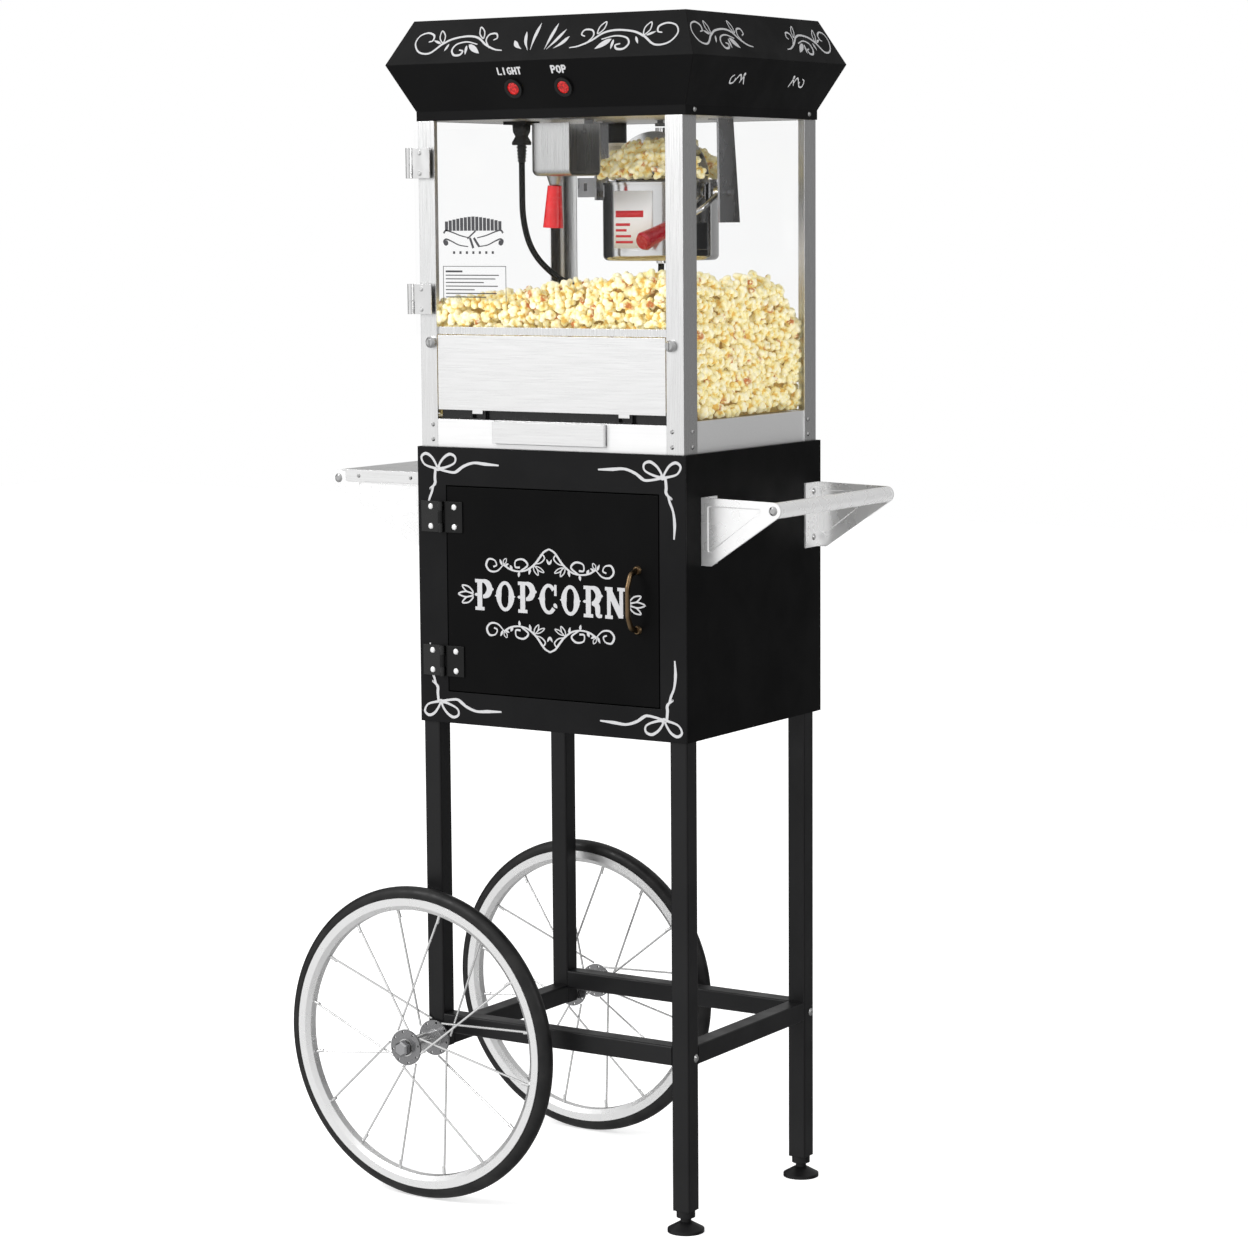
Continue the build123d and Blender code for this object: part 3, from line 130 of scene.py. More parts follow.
class Shader:
    """A Principled material and the few node patterns that all of them are made from."""

    def __init__(self, name, color, roughness, metallic=0.0, specular=0.5, bevel=0.0):
        self.material = bpy.data.materials.new(name)
        self.material.use_nodes = True
        self.tree = self.material.node_tree
        self.bsdf = self.tree.nodes["Principled BSDF"]
        self.place = self.add("TexCoord").outputs["Object"]
        self.normal = None
        self.set("Base Color", (*color, 1.0))
        self.set("Roughness", roughness)
        self.set("Metallic", metallic)
        self.set("Specular IOR Level", specular)
        if bevel:
            self.normal = self.add("Bevel", bevel, samples=3).outputs["Normal"]
            self.link(self.normal, "Normal")

    def add(self, kind, *sources, **settings):
        return add_node(self.tree, kind, *sources, **settings)

    def set(self, socket, value):
        self.bsdf.inputs[socket].default_value = value

    def link(self, source, socket):
        self.tree.links.new(source, self.bsdf.inputs[socket])

    def noise(self, scale, stretch=(1, 1, 1), detail=3.0, seed=0.0):
        """Noise of `scale` cells per metre, drawn out along the axes whose stretch is small."""
        mapping = self.add("Mapping", self.place, (seed, seed * 0.7, seed * 1.3), None, stretch)
        return self.add("TexNoise", mapping.outputs[0], None, scale, detail).outputs["Fac"]

    def spread(self, source, low, high, start=0.35, end=0.65):
        """Stretch a value from start..end to low..high."""
        return self.add("MapRange", source, start, end, low, high).outputs["Result"]

    def rough(self, source, low, high):
        self.link(self.spread(source, low, high), "Roughness")

    def colors(self, source, stops):
        """Colour from a ramp of (position, colour) stops."""
        node = self.add("ValToRGB", source)
        ramp = node.color_ramp
        while len(ramp.elements) < len(stops):
            ramp.elements.new(0.5)
        for element, (position, color) in zip(ramp.elements, stops):
            element.position = position
            element.color = (*color, 1.0)
        self.link(node.outputs["Color"], "Base Color")
        return node.outputs["Color"]

    def mottle(self, source, base, low=0.3, high=0.7, dim=1.0):
        """Colour between base times dim, where source is low, and base."""
        self.colors(source, [(low, tuple(c * dim for c in base)), (high, base)])

    def bump(self, source, height, strength=1.0):
        """Raise the surface by up to `height` metres where source is 1."""
        made = self.add("Bump")
        made.inputs["Distance"].default_value = height
        made.inputs["Strength"].default_value = strength
        self.tree.links.new(source, made.inputs["Height"])
        if self.normal:
            self.tree.links.new(self.normal, made.inputs["Normal"])
        self.normal = made.outputs["Normal"]
        self.link(self.normal, "Normal")


def grey(value):
    return (value, value, value)


def powder_coat(name, base, rough_low, rough_high, specular=0.12, dust=0.003):
    """Satin black powder coat: orange peel, cloudy gloss and a little grey dust."""
    made = Shader(name, base, rough_low, specular=specular, bevel=0.0012)
    made.colors(made.noise(9.0, detail=5.0), [(0.4, base), (0.75, tuple(c + dust for c in base))])
    made.rough(made.noise(22.0, seed=3.0), rough_low, rough_high)
    made.bump(made.noise(1300.0, detail=1.0, seed=5.0), 0.00006, 0.5)
    return made.material


def brushed(name, base, rough_low, rough_high, grain, metallic=1.0):
    """Brushed sheet: fine lines along one axis in gloss, tone and relief. grain is the axis."""
    stretch = [1.0, 1.0, 1.0]
    stretch["xyz".index(grain)] = 0.012
    made = Shader(name, base, rough_low, metallic=metallic, bevel=0.0008)
    lines = made.noise(1500.0, stretch=stretch, detail=2.0)
    made.mottle(made.noise(420.0, stretch=stretch, seed=2.0), base, dim=0.975)
    made.rough(lines, rough_low, rough_high)
    made.bump(lines, 0.000012, 0.3)
    return made.material


def polished(name, base, rough_low, rough_high, scale):
    """Bright metal with faint smears, `scale` of them per metre."""
    made = Shader(name, base, rough_low, metallic=1.0, bevel=0.0006)
    smear = made.noise(scale, stretch=(1, 1, 0.5), detail=2.0)
    made.mottle(smear, base, dim=0.96)
    made.rough(smear, rough_low, rough_high)
    made.bump(made.noise(160.0, detail=2.0), 0.00001, 0.3)
    return made.material


def moulded(name, base, rough_low, rough_high, specular=0.5, coat=0.0):
    """Moulded plastic: fine texture and a soft change of tone."""
    made = Shader(name, base, rough_low, specular=specular, bevel=0.0006)
    made.mottle(made.noise(60.0), base, dim=0.85)
    made.rough(made.noise(150.0, seed=1.0), rough_low, rough_high)
    made.bump(made.noise(900.0, detail=1.0, seed=2.0), 0.00005, 0.4)
    made.set("Coat Weight", coat)
    return made.material


def clear_glass(name, tint, mirror):
    """Thin pane: see-through, with a mirror that grows towards the edges of sight."""
    made = Shader(name, tint, 0.02)
    tree = made.tree
    clear = made.add("BsdfTransparent", (*tint, 1.0))
    gloss = made.add("BsdfGlossy", None, made.spread(made.noise(14.0, detail=5.0), 0.01, 0.06))
    facing = made.add("LayerWeight", 0.5)
    steep = made.add("Math", facing.outputs["Facing"], 4.0, operation="POWER")
    amount = made.add("Math", steep.outputs[0], mirror, 0.008, operation="MULTIPLY_ADD")
    mix = made.add("MixShader", amount.outputs[0], clear.outputs[0], gloss.outputs[0])
    tree.links.new(mix.outputs["Shader"], tree.nodes["Material Output"].inputs["Surface"])
    tree.nodes.remove(made.bsdf)
    return made.material


def tyre_rubber(name):
    made = Shader(name, (0.006, 0.006, 0.0065), 0.4, specular=0.3)
    dust = made.noise(40.0, detail=5.0)
    made.colors(dust, [(0.35, (0.005, 0.005, 0.0055)), (0.8, (0.016, 0.0155, 0.015))])
    made.rough(made.noise(90.0, seed=4.0), 0.36, 0.52)
    made.bump(made.noise(700.0, stretch=(1, 2.5, 1), detail=2.0), 0.00010, 0.6)
    return made.material


def red_lens(name):
    made = Shader(name, (0.50, 0.006, 0.008), 0.12, specular=0.6)
    ripple = made.noise(420.0, detail=1.0)
    made.colors(ripple, [(0.35, (0.20, 0.001, 0.002)), (0.65, (0.60, 0.010, 0.010))])
    made.bump(ripple, 0.0002, 0.6)
    made.rough(made.noise(200.0), 0.08, 0.18)
    return made.material


# what each point of a kernel's mesh carries
KERNEL_DATA = ("fold_shading", "hull", "tint")


def popped(name, dim=1.0):
    """Popcorn: cream flakes with a painted highlight on their crowns, deeper yellow in the folds
    as part own colour and part painted shade, and brown hulls.

    The fold shading value is 1 on a flake's crown and 0 in a crease, and lower on a kernel's low
    parts; the colour ramp paints it palest at 1 as a highlight and deepest yellow at 0 as shade.
    hull is 1 on the hull, and tint is the same all over a kernel.
    """
    made = Shader(name, (0.95, 0.88, 0.66), 0.55, specular=0.35)
    fold_shading, hull, tint = (made.add("Attribute", attribute_name=key).outputs["Fac"] for key in KERNEL_DATA)
    grain = made.spread(made.noise(260.0), -0.22, 0.22)
    grainy = made.add("Math", fold_shading, grain, operation="ADD")
    shift = made.add("Math", grainy.outputs[0], tint, operation="ADD")
    # ramp by fold shading: the lowest stop is painted crease shade, the highest a painted crown highlight
    stops = [
        (0.0, (0.76, 0.43, 0.06)),
        (0.15, (0.84, 0.63, 0.18)),
        (0.38, (0.91, 0.80, 0.37)),
        (0.68, (0.95, 0.88, 0.55)),
        (1.0, (0.97, 0.92, 0.70)),
    ]
    flake = made.colors(shift.outputs[0], [(p, tuple(c * dim for c in color)) for p, color in stops])
    spots = made.spread(made.noise(300.0, detail=2.0, seed=6.0), 0.0, 1.0, 0.38, 0.48)
    mask = made.add("Math", hull, spots, operation="MULTIPLY")
    brown = (0.52 * dim, 0.11 * dim, 0.004 * dim, 1.0)
    made.link(made.add("MixRGB", mask.outputs[0], flake, brown).outputs["Color"], "Base Color")
    # painted glow: a warm emission that stands in for light bounced between and through the flakes
    made.set("Emission Color", (1.0, 0.84, 0.42, 1.0))
    made.set("Emission Strength", 0.11 * dim)
    made.rough(made.noise(500.0, detail=2.0), 0.45, 0.7)
    made.bump(made.noise(520.0, seed=9.0), 0.0010, 0.8)
    return made.material


def satin_alloy(name, base, metallic):
    """Bright plated or anodised metal that is pale from every side."""
    made = Shader(name, base, 0.28, metallic=metallic, specular=0.6, bevel=0.0006)
    smear = made.noise(46.0, detail=2.0)
    made.mottle(smear, base, dim=0.985)
    made.rough(smear, 0.24, 0.34)
    made.bump(made.noise(220.0, detail=2.0), 0.00001, 0.3)
    return made.material


def hub_and_spokes(name):
    """Bright hub barrel, chrome flange with the spoke holes in a dark grey that is a painted dark
    reflection, pale stainless spokes.
    """
    made = Shader(name, grey(0.7), 0.2, metallic=0.8, specular=0.6, bevel=0.0004)
    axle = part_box("axle_rod")
    from_axle = made.add("VectorMath", made.place, (axle[0] + axle[1]) / 2, operation="SUBTRACT")
    flat = made.add("VectorMath", from_axle.outputs[0], (1.0, 0.0, 1.0), operation="MULTIPLY")
    reach = made.add("VectorMath", flat.outputs[0], operation="LENGTH")
    ring = made.spread(reach.outputs["Value"], 0.0, 1.0, 0.0, 0.030)
    # the flange's dark grey is a painted dark reflection of the chrome, not the metal's own colour
    pale, dark = grey(0.75), (0.24, 0.24, 0.245)
    made.colors(ring, [(0.36, pale), (0.39, dark), (0.81, dark), (0.84, pale)])
    made.rough(made.noise(90.0, detail=4.0), 0.12, 0.26)
    made.bump(made.noise(160.0, detail=2.0), 0.00002, 0.4)
    return made.material


def two_part_hinge(name, split):
    """Black under the height split, bright plated leaves over it: black paint on the lower hinge leaves,
    and painted shade on the sill strip in the drop panel's gap.
    """
    made = Shader(name, grey(0.6), 0.2, bevel=0.0006)
    axes = made.add("SeparateXYZ", made.place)
    over = made.add("Math", axes.outputs["Z"], split, operation="GREATER_THAN").outputs[0]
    made.colors(over, [(0.4, grey(0.002)), (0.6, grey(0.78))])
    made.link(over, "Metallic")
    made.rough(made.noise(110.0, detail=4.0), 0.18, 0.34)
    made.bump(made.noise(160.0, detail=2.0), 0.00003, 0.4)
    return made.material


def ink(name, base, wear):
    """Screen-printed paint with slightly uneven cover."""
    made = Shader(name, base, 0.45, specular=0.4)
    cover = made.noise(240.0, detail=4.0)
    made.mottle(cover, base, 0.2, 0.5, 1 - wear)
    made.rough(cover, 0.38, 0.55)
    made.bump(made.noise(800.0, detail=1.0), 0.00003, 0.4)
    return made.material


# finish of each material slot: its function and what that takes after the name
FINISHES = {
    "frame_black": (powder_coat, (0.0045, 0.0045, 0.005), 0.34, 0.46, 0.28),
    "axle_steel": (polished, (0.42, 0.42, 0.43), 0.16, 0.30, 120.0),
    "bush_plastic": (moulded, grey(0.02), 0.4, 0.55),
    "tyre_rubber": (tyre_rubber,),
    "rim_alloy": (satin_alloy, grey(0.80), 0.75),
    "hub_chrome": (hub_and_spokes,),
    # the cart_black slot: a darker, less glossy copy of the cart's black than the front frame's, as painted
    # shade on the sides
    "cart_black": (powder_coat, (0.0015, 0.0015, 0.0016), 0.36, 0.50, 0.07, 0.0012),
    "bronze": (polished, (0.20, 0.135, 0.075), 0.26, 0.42, 140.0),
    "hinge_chrome": (polished, grey(0.52), 0.12, 0.26, 110.0),
    "bracket_chrome": (satin_alloy, grey(0.92), 0.6),
    "stainless": (brushed, grey(0.88), 0.26, 0.40, "x"),
    "glass": (clear_glass, (0.996, 0.997, 0.997), 0.30),
    "canopy_black": (powder_coat, (0.0026, 0.0026, 0.0028), 0.36, 0.50, 0.09, 0.001),
    "switch_red": (red_lens,),
    "black_plastic": (moulded, grey(0.005), 0.35, 0.5, 0.3),
    "motor_metal": (powder_coat, (0.18, 0.185, 0.19), 0.4, 0.6, 0.3, 0.01),
    "bulb_glass": (moulded, (0.95, 0.90, 0.78), 0.2, 0.35),
    "kettle_steel": (polished, grey(0.80), 0.08, 0.16, 26.0),
    "scoop_red": (moulded, (0.72, 0.012, 0.016), 0.18, 0.30, 0.5, 0.3),
    "grip_dark_red": (moulded, (0.42, 0.012, 0.022), 0.20, 0.32, 0.5, 0.3),
    "cord_black": (moulded, grey(0.004), 0.40, 0.55, 0.22),
    "popcorn": (popped,),
}
finish_of = {slot: make(slot, *settings) for slot, (make, *settings) in FINISHES.items()}
post_steel = brushed("post_steel", grey(0.80), 0.24, 0.38, "z")
scoop_steel = brushed("scoop_steel", grey(0.52), 0.24, 0.36, "z")
base_steel = brushed("base_steel", grey(0.90), 0.28, 0.42, "x", 0.7)
hanger_steel = polished("hanger_steel", (0.40, 0.40, 0.41), 0.22, 0.36, 40.0)
# popcorn dimmed to 0.62 for the heap's core: painted shade deep in the heap
shaded_popcorn_core = popped("shaded_popcorn_core", 0.62)
white_ink = ink("white_ink", (0.52, 0.52, 0.53), 0.10)
red_ink = ink("red_ink", (0.70, 0.03, 0.04), 0.15)
grey_ink = ink("grey_ink", (0.045, 0.045, 0.05), 0.15)
label_paper = ink("label_paper", grey(0.97), 0.02)

special = {
    # black below 1.05 m also covers the sill strip behind the drop panel's gap: painted shade there
    "hinge_frame_leaves": two_part_hinge("hinge_frame_leaves", 1.05),
    "cart_hinge_door_leaves": powder_coat("cart_hinge_black", grey(0.002), 0.24, 0.36, 0.25),
    # front frame: a lighter, glossier copy of the cart's black, as painted light
    "cart_front_frame": powder_coat("cart_front_lit_black", (0.0038, 0.0038, 0.0042), 0.36, 0.50, 0.13),
    "glass_hinge_leaves": polished("glass_hinge", grey(0.82), 0.14, 0.26, 60.0),
    "handle_bars": satin_alloy("bar_chrome", grey(0.94), 0.45),
    "posts": post_steel,
    "machine_base": base_steel,
    "scoop_bowl": scoop_steel,
    "scoop_peg": hanger_steel,
    "kettle_hangers": hanger_steel,
    "kettle_bridge": hanger_steel,
}
for row in frame["record"]["subparts"]:
    piece = nodes[row["node"]]
    piece.data.materials.clear()
    piece.data.materials.append(special.get(row["node"], finish_of[row["material_slot"]]))

# ---------------- camera
CAMERA_AT = Vector((2.4177, -3.7067, 1.2767))
YAW, PITCH, ROLL = math.radians(32.6024), math.radians(6.8315), math.radians(-0.4177)


def make_camera():
    data = bpy.data.cameras.new("camera")
    data.lens = 97.76
    data.sensor_width = 36.0
    data.clip_end = 60.0
    level = Vector((-math.sin(YAW), math.cos(YAW), 0.0))
    ahead = level * math.cos(PITCH) - Vector((0.0, 0.0, math.sin(PITCH)))
    right = Vector((math.cos(YAW), math.sin(YAW), 0.0))
    up = right.cross(ahead)
    rolled_right = right * math.cos(ROLL) + up * math.sin(ROLL)
    rolled_up = up * math.cos(ROLL) - right * math.sin(ROLL)
    turned = Matrix((rolled_right, rolled_up, -ahead)).transposed().to_4x4()
    camera = bpy.data.objects.new("camera", data)
    camera.matrix_world = Matrix.Translation(CAMERA_AT) @ turned
    bpy.context.scene.collection.objects.link(camera)
    bpy.context.scene.camera = camera


make_camera()


# ---------------- kettle cord
# the route of the cord's solid: plug, down beside the scoop, under the kettle and up to it
cord_route = [
    (-0.0805, -0.0385, 1.3500),
    (-0.0805, -0.0385, 1.3160),
    (-0.0815, -0.0365, 1.2750),
    (-0.0725, -0.0305, 1.2340),
    (-0.0445, -0.0215, 1.2030),
    (-0.0085, -0.0115, 1.1840),
    (0.0295, 0.0025, 1.1700),
    (0.0585, 0.0205, 1.1660),
    (0.0755, 0.0375, 1.1780),
    (0.0785, 0.0465, 1.1980),
    (0.0785, 0.0465, 1.2177),
]
CORD_RADIUS = 0.004


def smooth_line(route, steps=10):
    """Points along the NURBS line whose control points are the route."""
    curve = bpy.data.curves.new("line", "CURVE")
    curve.dimensions = "3D"
    curve.resolution_u = steps
    spline = curve.splines.new("NURBS")
    spline.points.add(len(route) - 1)
    for control, point in zip(spline.points, route):
        control.co = (*point, 1.0)
    spline.order_u = 3
    spline.use_endpoint_u = True
    holder = bpy.data.objects.new("line", curve)
    line = bpy.data.meshes.new_from_object(holder)
    points = [v.co.copy() for v in line.vertices]
    bpy.data.objects.remove(holder)
    bpy.data.curves.remove(curve)
    bpy.data.meshes.remove(line)
    return points


def make_cord():
    line = smooth_line(cord_route)
    verts, faces = tube(line, CORD_RADIUS, 14)
    black = finish_of["cord_black"]
    cord = mesh_piece("kettle_cord_line", verts, faces, black, None)
    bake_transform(cord)
    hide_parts("kettle_cord")


make_cord()


# ---------------- popcorn
def icosphere(subdivisions):
    """Unit directions and triangles of an icosphere."""
    ball = bmesh.new()
    bmesh.ops.create_icosphere(ball, subdivisions=subdivisions, radius=1.0)
    ball.verts.index_update()
    directions = np.array([v.co for v in ball.verts])
    triangles = np.array([[v.index for v in face.verts] for face in ball.faces])
    ball.free()
    return directions, triangles


# flakes of a popped kernel, in millimetres: distance and radius, round a middle
FLAKE_REACH, FLAKE_RADIUS, KERNEL_MIDDLE = (3.4, 6.4), (2.1, 3.6), 3.4
KERNEL_SCALE = (1.08, 1.5)


def make_kernel_shapes(count, subdivisions):
    """Kernels as unions of round flakes: directions, triangles, and radii and fold for each."""
    directions, triangles = icosphere(subdivisions)
    shapes = []
    for _ in range(count):
        flakes = rng.integers(8, 13)
        ways = rng.normal(size=(flakes, 3))
        ways /= np.linalg.norm(ways, axis=1)[:, None]
        offsets = ways * rng.uniform(*FLAKE_REACH, flakes)[:, None]
        sizes = rng.uniform(*FLAKE_RADIUS, flakes)
        along = directions @ offsets.T
        inside = sizes**2 - (offsets**2).sum(axis=1) + along**2
        hit = (inside > 0) & (along > 0)
        reach = np.where(hit, along + np.sqrt(np.abs(inside)), KERNEL_MIDDLE)
        ordered = np.sort(reach, axis=1)
        radii = ordered[:, -1]
        crease = np.clip((radii - ordered[:, -2]) / 1.4, 0.0, 1.0)
        height = (radii - radii.min()) / (radii.max() - radii.min())
        # fold shading: high on tall, separate flakes and low in creases and low parts, for the popcorn
        # material's painted highlight and shade
        shapes.append((radii * MM, 0.55 * height + 0.45 * crease))
    return directions, triangles, shapes


def random_turns(count):
    """Rotation matrices spread evenly over all turns."""
    q = rng.normal(size=(count, 4))
    q /= np.linalg.norm(q, axis=1)[:, None]
    w, x, y, z = q.T
    rows = [
        [1 - 2 * (y * y + z * z), 2 * (x * y - z * w), 2 * (x * z + y * w)],
        [2 * (x * y + z * w), 1 - 2 * (x * x + z * z), 2 * (y * z - x * w)],
        [2 * (x * z - y * w), 2 * (y * z + x * w), 1 - 2 * (x * x + y * y)],
    ]
    return np.moveaxis(np.array(rows), 2, 0)


def kernels_mesh(name, body, centres, shape_set, clamp=None):
    """One mesh of popped kernels at centres in millimetres, each turned and scaled at random."""
    directions, triangles, shapes = shape_set
    count, corners = len(centres), len(directions)
    turns = random_turns(count)
    sizes = rng.uniform(*KERNEL_SCALE, count)
    chosen = rng.integers(0, len(shapes), count)
    radii = np.array([shapes[i][0] for i in chosen]) * sizes[:, None]
    fold_shading = np.array([shapes[i][1] for i in chosen])
    local = directions[None, :, :] * radii[:, :, None]
    verts = np.einsum("kij,kvj->kvi", turns, local) + to_frame(centres)[:, None, :]
    hull_way = rng.normal(size=(count, 3))
    hull_way /= np.linalg.norm(hull_way, axis=1)[:, None]
    facing = np.einsum("vj,kj->kv", directions, hull_way)
    has_hull = rng.random(count) < 0.35
    hull = np.clip((facing - 0.62) / 0.12, 0, 1) * (fold_shading < 0.85) * has_hull[:, None]
    tint = np.repeat(rng.uniform(-0.14, 0.16, count)[:, None], corners, axis=1)
    if clamp:
        verts = clamp(verts)
    starts = np.arange(count)[:, None, None] * corners
    faces = (triangles[None, :, :] + starts).reshape(-1, 3)
    piece = mesh_piece(name, verts.reshape(-1, 3), faces, finish_of["popcorn"], body)
    for key, values in zip(KERNEL_DATA, (fold_shading, hull, tint)):
        carried = piece.data.attributes.new(key, "FLOAT", "POINT")
        carried.data.foreach_set("value", values.astype(np.float32).ravel())
    return piece


# the cart's column is centred on this point of the floor
COLUMN = Vector((0.0395, 0.0065, 0.0))
GLASS_X, GLASS_BACK = 192.0, 159.0
DOOR_INSIDE, PANEL_INSIDE, PANEL_TOP = -164.5, -156.5, 1141.5
DECK, BEHIND_SILL, SILL_TOP = 1025.5, -148.0, 1038.0
# height of the popcorn along the right-hand pane, front to back
RIGHT_EDGE_Y = (-160, -127, -100, -41, 12, 78, 107, 137, 158)
RIGHT_EDGE_Z = (1203, 1206, 1211, 1194, 1209, 1198, 1183, 1157, 1137)
HEAP_HIGHEST, HOLLOW_HEIGHT = 1216, 1138.0
# kernels in one piece of the heap
MOST_KERNELS = 560
# spacing and depth of the kernels on the heap's surface, and of those under them
OUTER_LAYER, INNER_LAYER = (14.6, 8.5), (17.0, 19.0)
# depth of the heap's core, dimmed as painted shade, under its surface, and its distance from the walls
CORE_DEPTH, CORE_INSET = 19, 17


def ease(share):
    """0 below 0, 1 above 1, and a smooth step between them."""
    share = np.clip(share, 0, 1)
    return share * share * (3 - 2 * share)


def heap_top(x, y):
    """Height of the popcorn over the deck, in column millimetres: ridges round a hollow."""
    x, y = np.asarray(x, float), np.asarray(y, float)
    right = np.interp(y, RIGHT_EDGE_Y, RIGHT_EDGE_Z)
    front = 1177 + 0.1135 * (x + 163)
    left = np.interp(y, (-160, 0, 158), (1176, 1170, 1150))
    hollow = np.minimum(HOLLOW_HEIGHT, right + np.clip(175 - x, 0, 60) * 0.8)
    top = hollow + (right - hollow) * ease((x - 126) / 40)
    top = np.maximum(top, hollow + (front - hollow) * ease((-100 - y) / 26))
    top = np.maximum(top, hollow + (left - hollow) * ease((-118 - x) / 30))
    ripple = np.sin(x / 17.0 + 1.3) * np.cos(y / 21.0) + 0.7 * np.sin(x / 9.0 - y / 13.0)
    return top + 2.8 * ripple


def to_frame(points):
    """Column millimetres to metres in the part's frame."""
    return np.asarray(points, float) * MM + np.array(COLUMN)


def keep_inside(verts):
    """Flatten popcorn against the glass, the drop panel and the deck."""
    column = (verts - np.array(COLUMN)) / MM
    column[..., 0] = np.clip(column[..., 0], -GLASS_X, GLASS_X)
    nearest = np.where(column[..., 2] > PANEL_TOP, DOOR_INSIDE, PANEL_INSIDE)
    column[..., 1] = np.clip(column[..., 1], nearest, GLASS_BACK)
    floor = np.where(column[..., 1] < BEHIND_SILL, SILL_TOP, DECK)
    column[..., 2] = np.maximum(column[..., 2], floor)
    return column * MM + np.array(COLUMN)


def jittered(start, stop, step, others):
    """Grid of points over start..stop with a random shift, as rows (a, b)."""
    a = np.arange(start + step / 2, stop, step)
    b = np.arange(others[0] + step / 2, others[1], step)
    grid = np.stack(np.meshgrid(a, b, indexing="ij"), axis=-1).reshape(-1, 2)
    return grid + rng.uniform(-0.3 * step, 0.3 * step, grid.shape)


def heap_centres(step, depth):
    """Kernel centres over the walls and the top of the heap, `depth` mm under its surface."""
    rows = []
    low = DECK + depth
    for side in (-1, 1):
        grid = jittered(PANEL_INSIDE + depth, GLASS_BACK - depth, step, (low - 4, HEAP_HIGHEST))
        x = side * (GLASS_X - depth - rng.uniform(0, 2.5, len(grid)))
        rows.append(np.stack([x, grid[:, 0], grid[:, 1]], axis=1))
    grid = jittered(-GLASS_X + depth, GLASS_X - depth, step, (low - 4, HEAP_HIGHEST))
    rows.append(np.stack([grid[:, 0], np.full(len(grid), GLASS_BACK - depth), grid[:, 1]], axis=1))
    face = np.where(grid[:, 1] > PANEL_TOP, DOOR_INSIDE, PANEL_INSIDE) + depth
    rows.append(np.stack([grid[:, 0], face, grid[:, 1]], axis=1))
    walls = np.concatenate(rows)
    walls = walls[walls[:, 2] < heap_top(walls[:, 0], walls[:, 1]) - depth * 0.8]
    across = (PANEL_INSIDE + depth, GLASS_BACK - depth)
    grid = jittered(-GLASS_X + depth, GLASS_X - depth, step, across)
    z = heap_top(grid[:, 0], grid[:, 1]) - depth + rng.uniform(-2.5, 2.5, len(grid))
    return np.concatenate([walls, np.column_stack([grid, z])])


def make_heap():
    """The heap: whole kernels on its surface, coarser ones under them, and a core of popcorn dimmed as
    painted shade.
    """
    fine = make_kernel_shapes(14, 3)
    coarse = make_kernel_shapes(6, 2)
    outer = heap_centres(*OUTER_LAYER)
    inner = heap_centres(*INNER_LAYER)
    for number, start in enumerate(range(0, len(outer), MOST_KERNELS), 1):
        chosen = outer[start : start + MOST_KERNELS]
        piece = kernels_mesh(f"popcorn_heap_{number}", "root", chosen, fine, keep_inside)
        if number == 1:
            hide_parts("popcorn_heap")
    kernels_mesh("popcorn_heap_under", "root", inner, coarse, keep_inside)
    make_heap_core()


def make_heap_core():
    """Block of popcorn colour dimmed as painted shade, which closes the gaps between the kernels."""
    xs = np.linspace(-GLASS_X + CORE_INSET, GLASS_X - CORE_INSET, 46)
    ys = np.linspace(PANEL_INSIDE + CORE_INSET, GLASS_BACK - CORE_INSET, 38)
    x, y = np.meshgrid(xs, ys, indexing="ij")
    top = heap_top(x, y) - CORE_DEPTH
    layers = (top, np.full_like(top, DECK))
    verts = np.concatenate([np.column_stack([x.ravel(), y.ravel(), z.ravel()]) for z in layers])
    columns, rows = x.shape

    def at(i, j, layer):
        return (layer * columns + i) * rows + j

    faces = []
    for i in range(columns - 1):
        for j in range(rows - 1):
            faces.append((at(i, j, 0), at(i + 1, j, 0), at(i + 1, j + 1, 0), at(i, j + 1, 0)))
            faces.append((at(i, j, 1), at(i, j + 1, 1), at(i + 1, j + 1, 1), at(i + 1, j, 1)))
    rim = [(i, 0) for i in range(columns)]
    rim += [(columns - 1, j) for j in range(1, rows)]
    rim += [(i, rows - 1) for i in reversed(range(columns - 1))]
    rim += [(0, j) for j in reversed(range(1, rows - 1))]
    for here, there in zip(rim, rim[1:] + rim[:1]):
        faces.append((at(*here, 1), at(*there, 1), at(*there, 0), at(*here, 0)))
    mesh_piece("popcorn_heap_shade_core", to_frame(verts), faces, shaded_popcorn_core, "root")


# kettle's axis and the top of its lids, and the dome of popcorn on it, in column millimetres
KETTLE_X, KETTLE_Y, LID_TOP = 39.0, 40.0, 1328.5
DOME_RADIUS, DOME_HEIGHT, DOME_SHELL = 82, 52, 26
MOUND_STEP, MOUND_REACH, MOUND_TOP = 14.0, 84, 1376
# a height under the lids, and how far each half of the mound keeps from the middle
SINKS_TO, HALVES_FROM = 1290.0, 19


